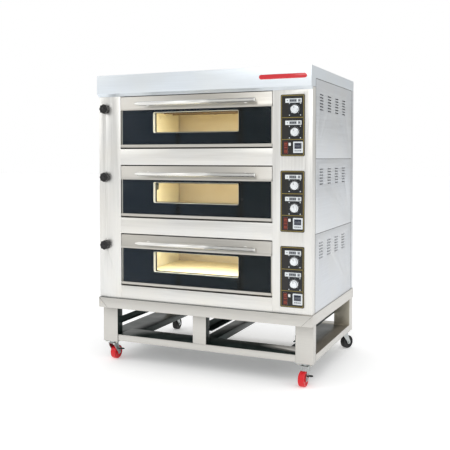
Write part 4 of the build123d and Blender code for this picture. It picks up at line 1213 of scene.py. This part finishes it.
# ---- stand --------------------------------------------------------------------------------------
class OVEN_OT_stand(OvenPart, bpy.types.Operator):
    """Welded tube stand with its tray slides"""

    bl_idname = "oven.stand"
    bl_label = "Stand"

    def execute(self, context):
        size = context.scene.oven_sizes
        tone = context.scene.oven_colours
        steel = stand_steel("Welded_stainless_tube", linear("#CFCDC8"), tone.inner)
        # Painted shade: the slides' dark green-grey stands for the shade inside the stand.
        slides = plain_paint(
            "Shaded_slide_steel", linear("#2E3B39"), rough=0.4, grain=0.006, speck=0.2, metallic=0.6
        )
        for node in ("stand_top_frame", "stand_legs", "stand_low_frame"):
            keep_within(reskin(node, steel, size.rail_edge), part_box(node))
        reskin("tray_slides", slides, 0.0004)
        self.seams(steel)
        return {"FINISHED"}

    def seams(self, steel):
        """Dressed mitre welds at the front corners of the top rail."""
        low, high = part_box("stand_top_frame")
        dark = plain_paint("Weld_line", linear("#7C7A74"), rough=0.5, grain=0.002, speck=0.2, metallic=0.8)
        tall = high.z - low.z
        for name, x, side in (("left", low.x, 1), ("right", high.x, -1)):
            seam = cube(
                f"mitre_weld_{name}",
                (-0.0006, low.y - 0.0003, -tall * 0.66),
                (0.0006, low.y + 0.0005, tall * 0.66),
            )
            turned(seam, side * math.radians(45), (x + side * tall * 0.5, 0, (low.z + high.z) / 2))
            place(smooth(seam), STATIC, dark, "satin_stainless")


class OVEN_OT_castors(OvenPart, bpy.types.Operator):
    """Castors: zinc-plated forks, red wheels in front, black behind, brake levers"""

    bl_idname = "oven.castors"
    bl_label = "Castors"

    def execute(self, context):
        zinc = zinc_plate("Zinc_plated_fork")
        red = plain_paint(
            "Red_polyurethane", context.scene.oven_colours.wheel, rough=0.35, grain=0.003, speck=0.06
        )
        black = plain_paint("Black_rubber_tyre", linear("#1B1B1C"), rough=0.6, grain=0.002, speck=0.2)
        lever = black_abs("Black_nylon_lever", "#141415")
        for corner in ("front_left", "front_right", "back_left", "back_right"):
            reskin(f"{corner}_fork", zinc, 0.0005, 2, 40.0)
            reskin(f"{corner}_wheel", red if corner.startswith("front") else black, 0.0004, 2, 40.0)
            if corner.startswith("front"):
                reskin(f"{corner}_brake_pedal", lever, 0.0005, 2, 40.0)
        finish_node("castor_plates", zinc)
        finish_node("castor_bolts", zinc_plate("Zinc_plated_bolt", "#C9C7BC"))
        return {"FINISHED"}


class OVEN_OT_inner(OvenPart, bpy.types.Operator):
    """Sealed inner sheets, insulation, hinge pins and the cable entry"""

    bl_idname = "oven.inner"
    bl_label = "Inner Parts"

    def execute(self, context):
        finish_node(
            "deck_shelves", plain_paint("Galvanised_shelf", linear("#A9AFB0"), 0.45, 0.012, 0.18, 0.9)
        )
        finish_node(
            "insulation", plain_paint("Mineral_wool", linear("#C8B46A"), 0.95, 0.004, 0.3, depth=0.001)
        )
        finish_node("door_hinge_pins", zinc_plate("Zinc_plated_pin"))
        reskin("cable_gland", black_abs("Black_nylon_gland", "#161617"), 0.0006, 2, 40.0)
        return {"FINISHED"}


# ---- studio -------------------------------------------------------------------------------------
class OVEN_OT_studio(OvenPart, bpy.types.Operator):
    """White floor, soft lights and the camera"""

    bl_idname = "oven.studio"
    bl_label = "Studio"

    def execute(self, context):
        deselect()
        bpy.ops.mesh.primitive_plane_add(size=80.0, location=(0, 0, 0))
        floor = context.object
        floor.name = "studio_floor"
        floor.data.materials.append(self.floor_paint())
        self.soft_light("key_light", (1.2, -4.2, 3.4), (0, 0, 0.8), 2.6, 45)
        self.soft_light("side_light", (4.0, -0.4, 2.2), (0.5, 0, 0.8), 2.4, 20)
        self.soft_light("left_light", (-3.6, -2.2, 2.6), (0, 0, 0.9), 2.4, 20)
        self.sky(context.scene)
        self.camera(context.scene)
        context.scene.view_settings.view_transform = "Standard"
        return {"FINISHED"}

    def floor_paint(self):
        """White floor that glows a little, so that only the oven's shadow shows on it."""
        material, tree, shader, coords = start("White_studio_floor")
        cloud = noise(tree, coords, 0.5, 2.0)
        feed(tree, shader, {
            "Base Color": add(
                tree, MIX, {0: cloud, 6: linear("#FBFBFB"), 7: linear("#FFFFFF")}, data_type="RGBA"
            ),
            "Roughness": 0.9,
            "Emission Color": (1, 1, 1, 1),
            "Emission Strength": 0.22,
        })
        return material

    def soft_light(self, name, place_at, target, size, power):
        deselect()
        turn = (Vector(target) - Vector(place_at)).to_track_quat("-Z", "Y").to_euler()
        bpy.ops.object.light_add(type="AREA", location=place_at, rotation=turn)
        light = bpy.context.object
        light.name = name
        light.data.size = size
        light.data.energy = power

    def sky(self, scene):
        """Soft grey surround that is lighter above; the camera sees plain white."""
        world = bpy.data.worlds.new("studio_surround")
        scene.world = world
        world.use_nodes = True
        tree = world.node_tree
        tree.nodes.clear()
        coords = add(tree, "ShaderNodeTexCoord")
        split = add(tree, "ShaderNodeSeparateXYZ", {"Vector": coords.outputs["Generated"]})
        height = add(tree, RANGE, (split.outputs["Z"], -0.25, 0.7, 0.0, 1.0))
        tone = add(tree, MIX, {0: height, 6: linear("#C9C8C4"), 7: linear("#FFFFFF")}, data_type="RGBA")
        around = add(tree, "ShaderNodeBackground", {"Color": tone, "Strength": 0.85})
        white = add(tree, "ShaderNodeBackground", {"Color": (1, 1, 1, 1), "Strength": 1.0})
        path = add(tree, "ShaderNodeLightPath")
        mixed = add(
            tree, "ShaderNodeMixShader",
            {0: path.outputs["Is Camera Ray"], 1: around.outputs[0], 2: white.outputs[0]},
        )
        add(tree, "ShaderNodeOutputWorld", {"Surface": mixed.outputs[0]})

    def camera(self, scene):
        deselect()
        aside, ahead, below = 1.6062, 3.3225, 0.4491
        tilt, turn = 0.036, 0.4136
        bpy.ops.object.camera_add(
            location=(aside, FRONT - ahead, TOP - below), rotation=(math.pi / 2 - tilt, 0.0, turn)
        )
        camera = bpy.context.object
        camera.data.lens = 56.86
        camera.data.sensor_width = 36.0
        camera.data.shift_y = -0.0918
        scene.camera = camera


class OVEN_PT_sidebar(bpy.types.Panel):
    """Sizes, colours and steps of the oven"""

    bl_idname = "OVEN_PT_sidebar"
    bl_label = "Deck Oven"
    bl_space_type = "VIEW_3D"
    bl_region_type = "UI"
    bl_category = "Oven"

    def draw(self, context):
        for group in (context.scene.oven_sizes, context.scene.oven_colours):
            for name in type(group).__annotations__:
                self.layout.prop(group, name)
        for step in STEPS:
            self.layout.operator(step.bl_idname)


STEPS = (
    OVEN_OT_studio,
    OVEN_OT_case,
    OVEN_OT_seams,
    OVEN_OT_vents,
    OVEN_OT_badge,
    OVEN_OT_doors,
    OVEN_OT_handles,
    OVEN_OT_chambers,
    OVEN_OT_panels,
    OVEN_OT_knobs,
    OVEN_OT_exhaust,
    OVEN_OT_stand,
    OVEN_OT_castors,
    OVEN_OT_inner,
)
CLASSES = (OvenSizes, OvenColours, *STEPS, OVEN_PT_sidebar)


def register():
    for cls in CLASSES:
        bpy.utils.register_class(cls)
    bpy.types.Scene.oven_sizes = PointerProperty(type=OvenSizes)
    bpy.types.Scene.oven_colours = PointerProperty(type=OvenColours)


def unregister():
    del bpy.types.Scene.oven_colours
    del bpy.types.Scene.oven_sizes
    for cls in reversed(CLASSES):
        bpy.utils.unregister_class(cls)


def main():
    register()
    for step in STEPS:
        getattr(bpy.ops.oven, step.bl_idname.split(".")[1])()
    deselect()


if __name__ == "__main__":
    main()
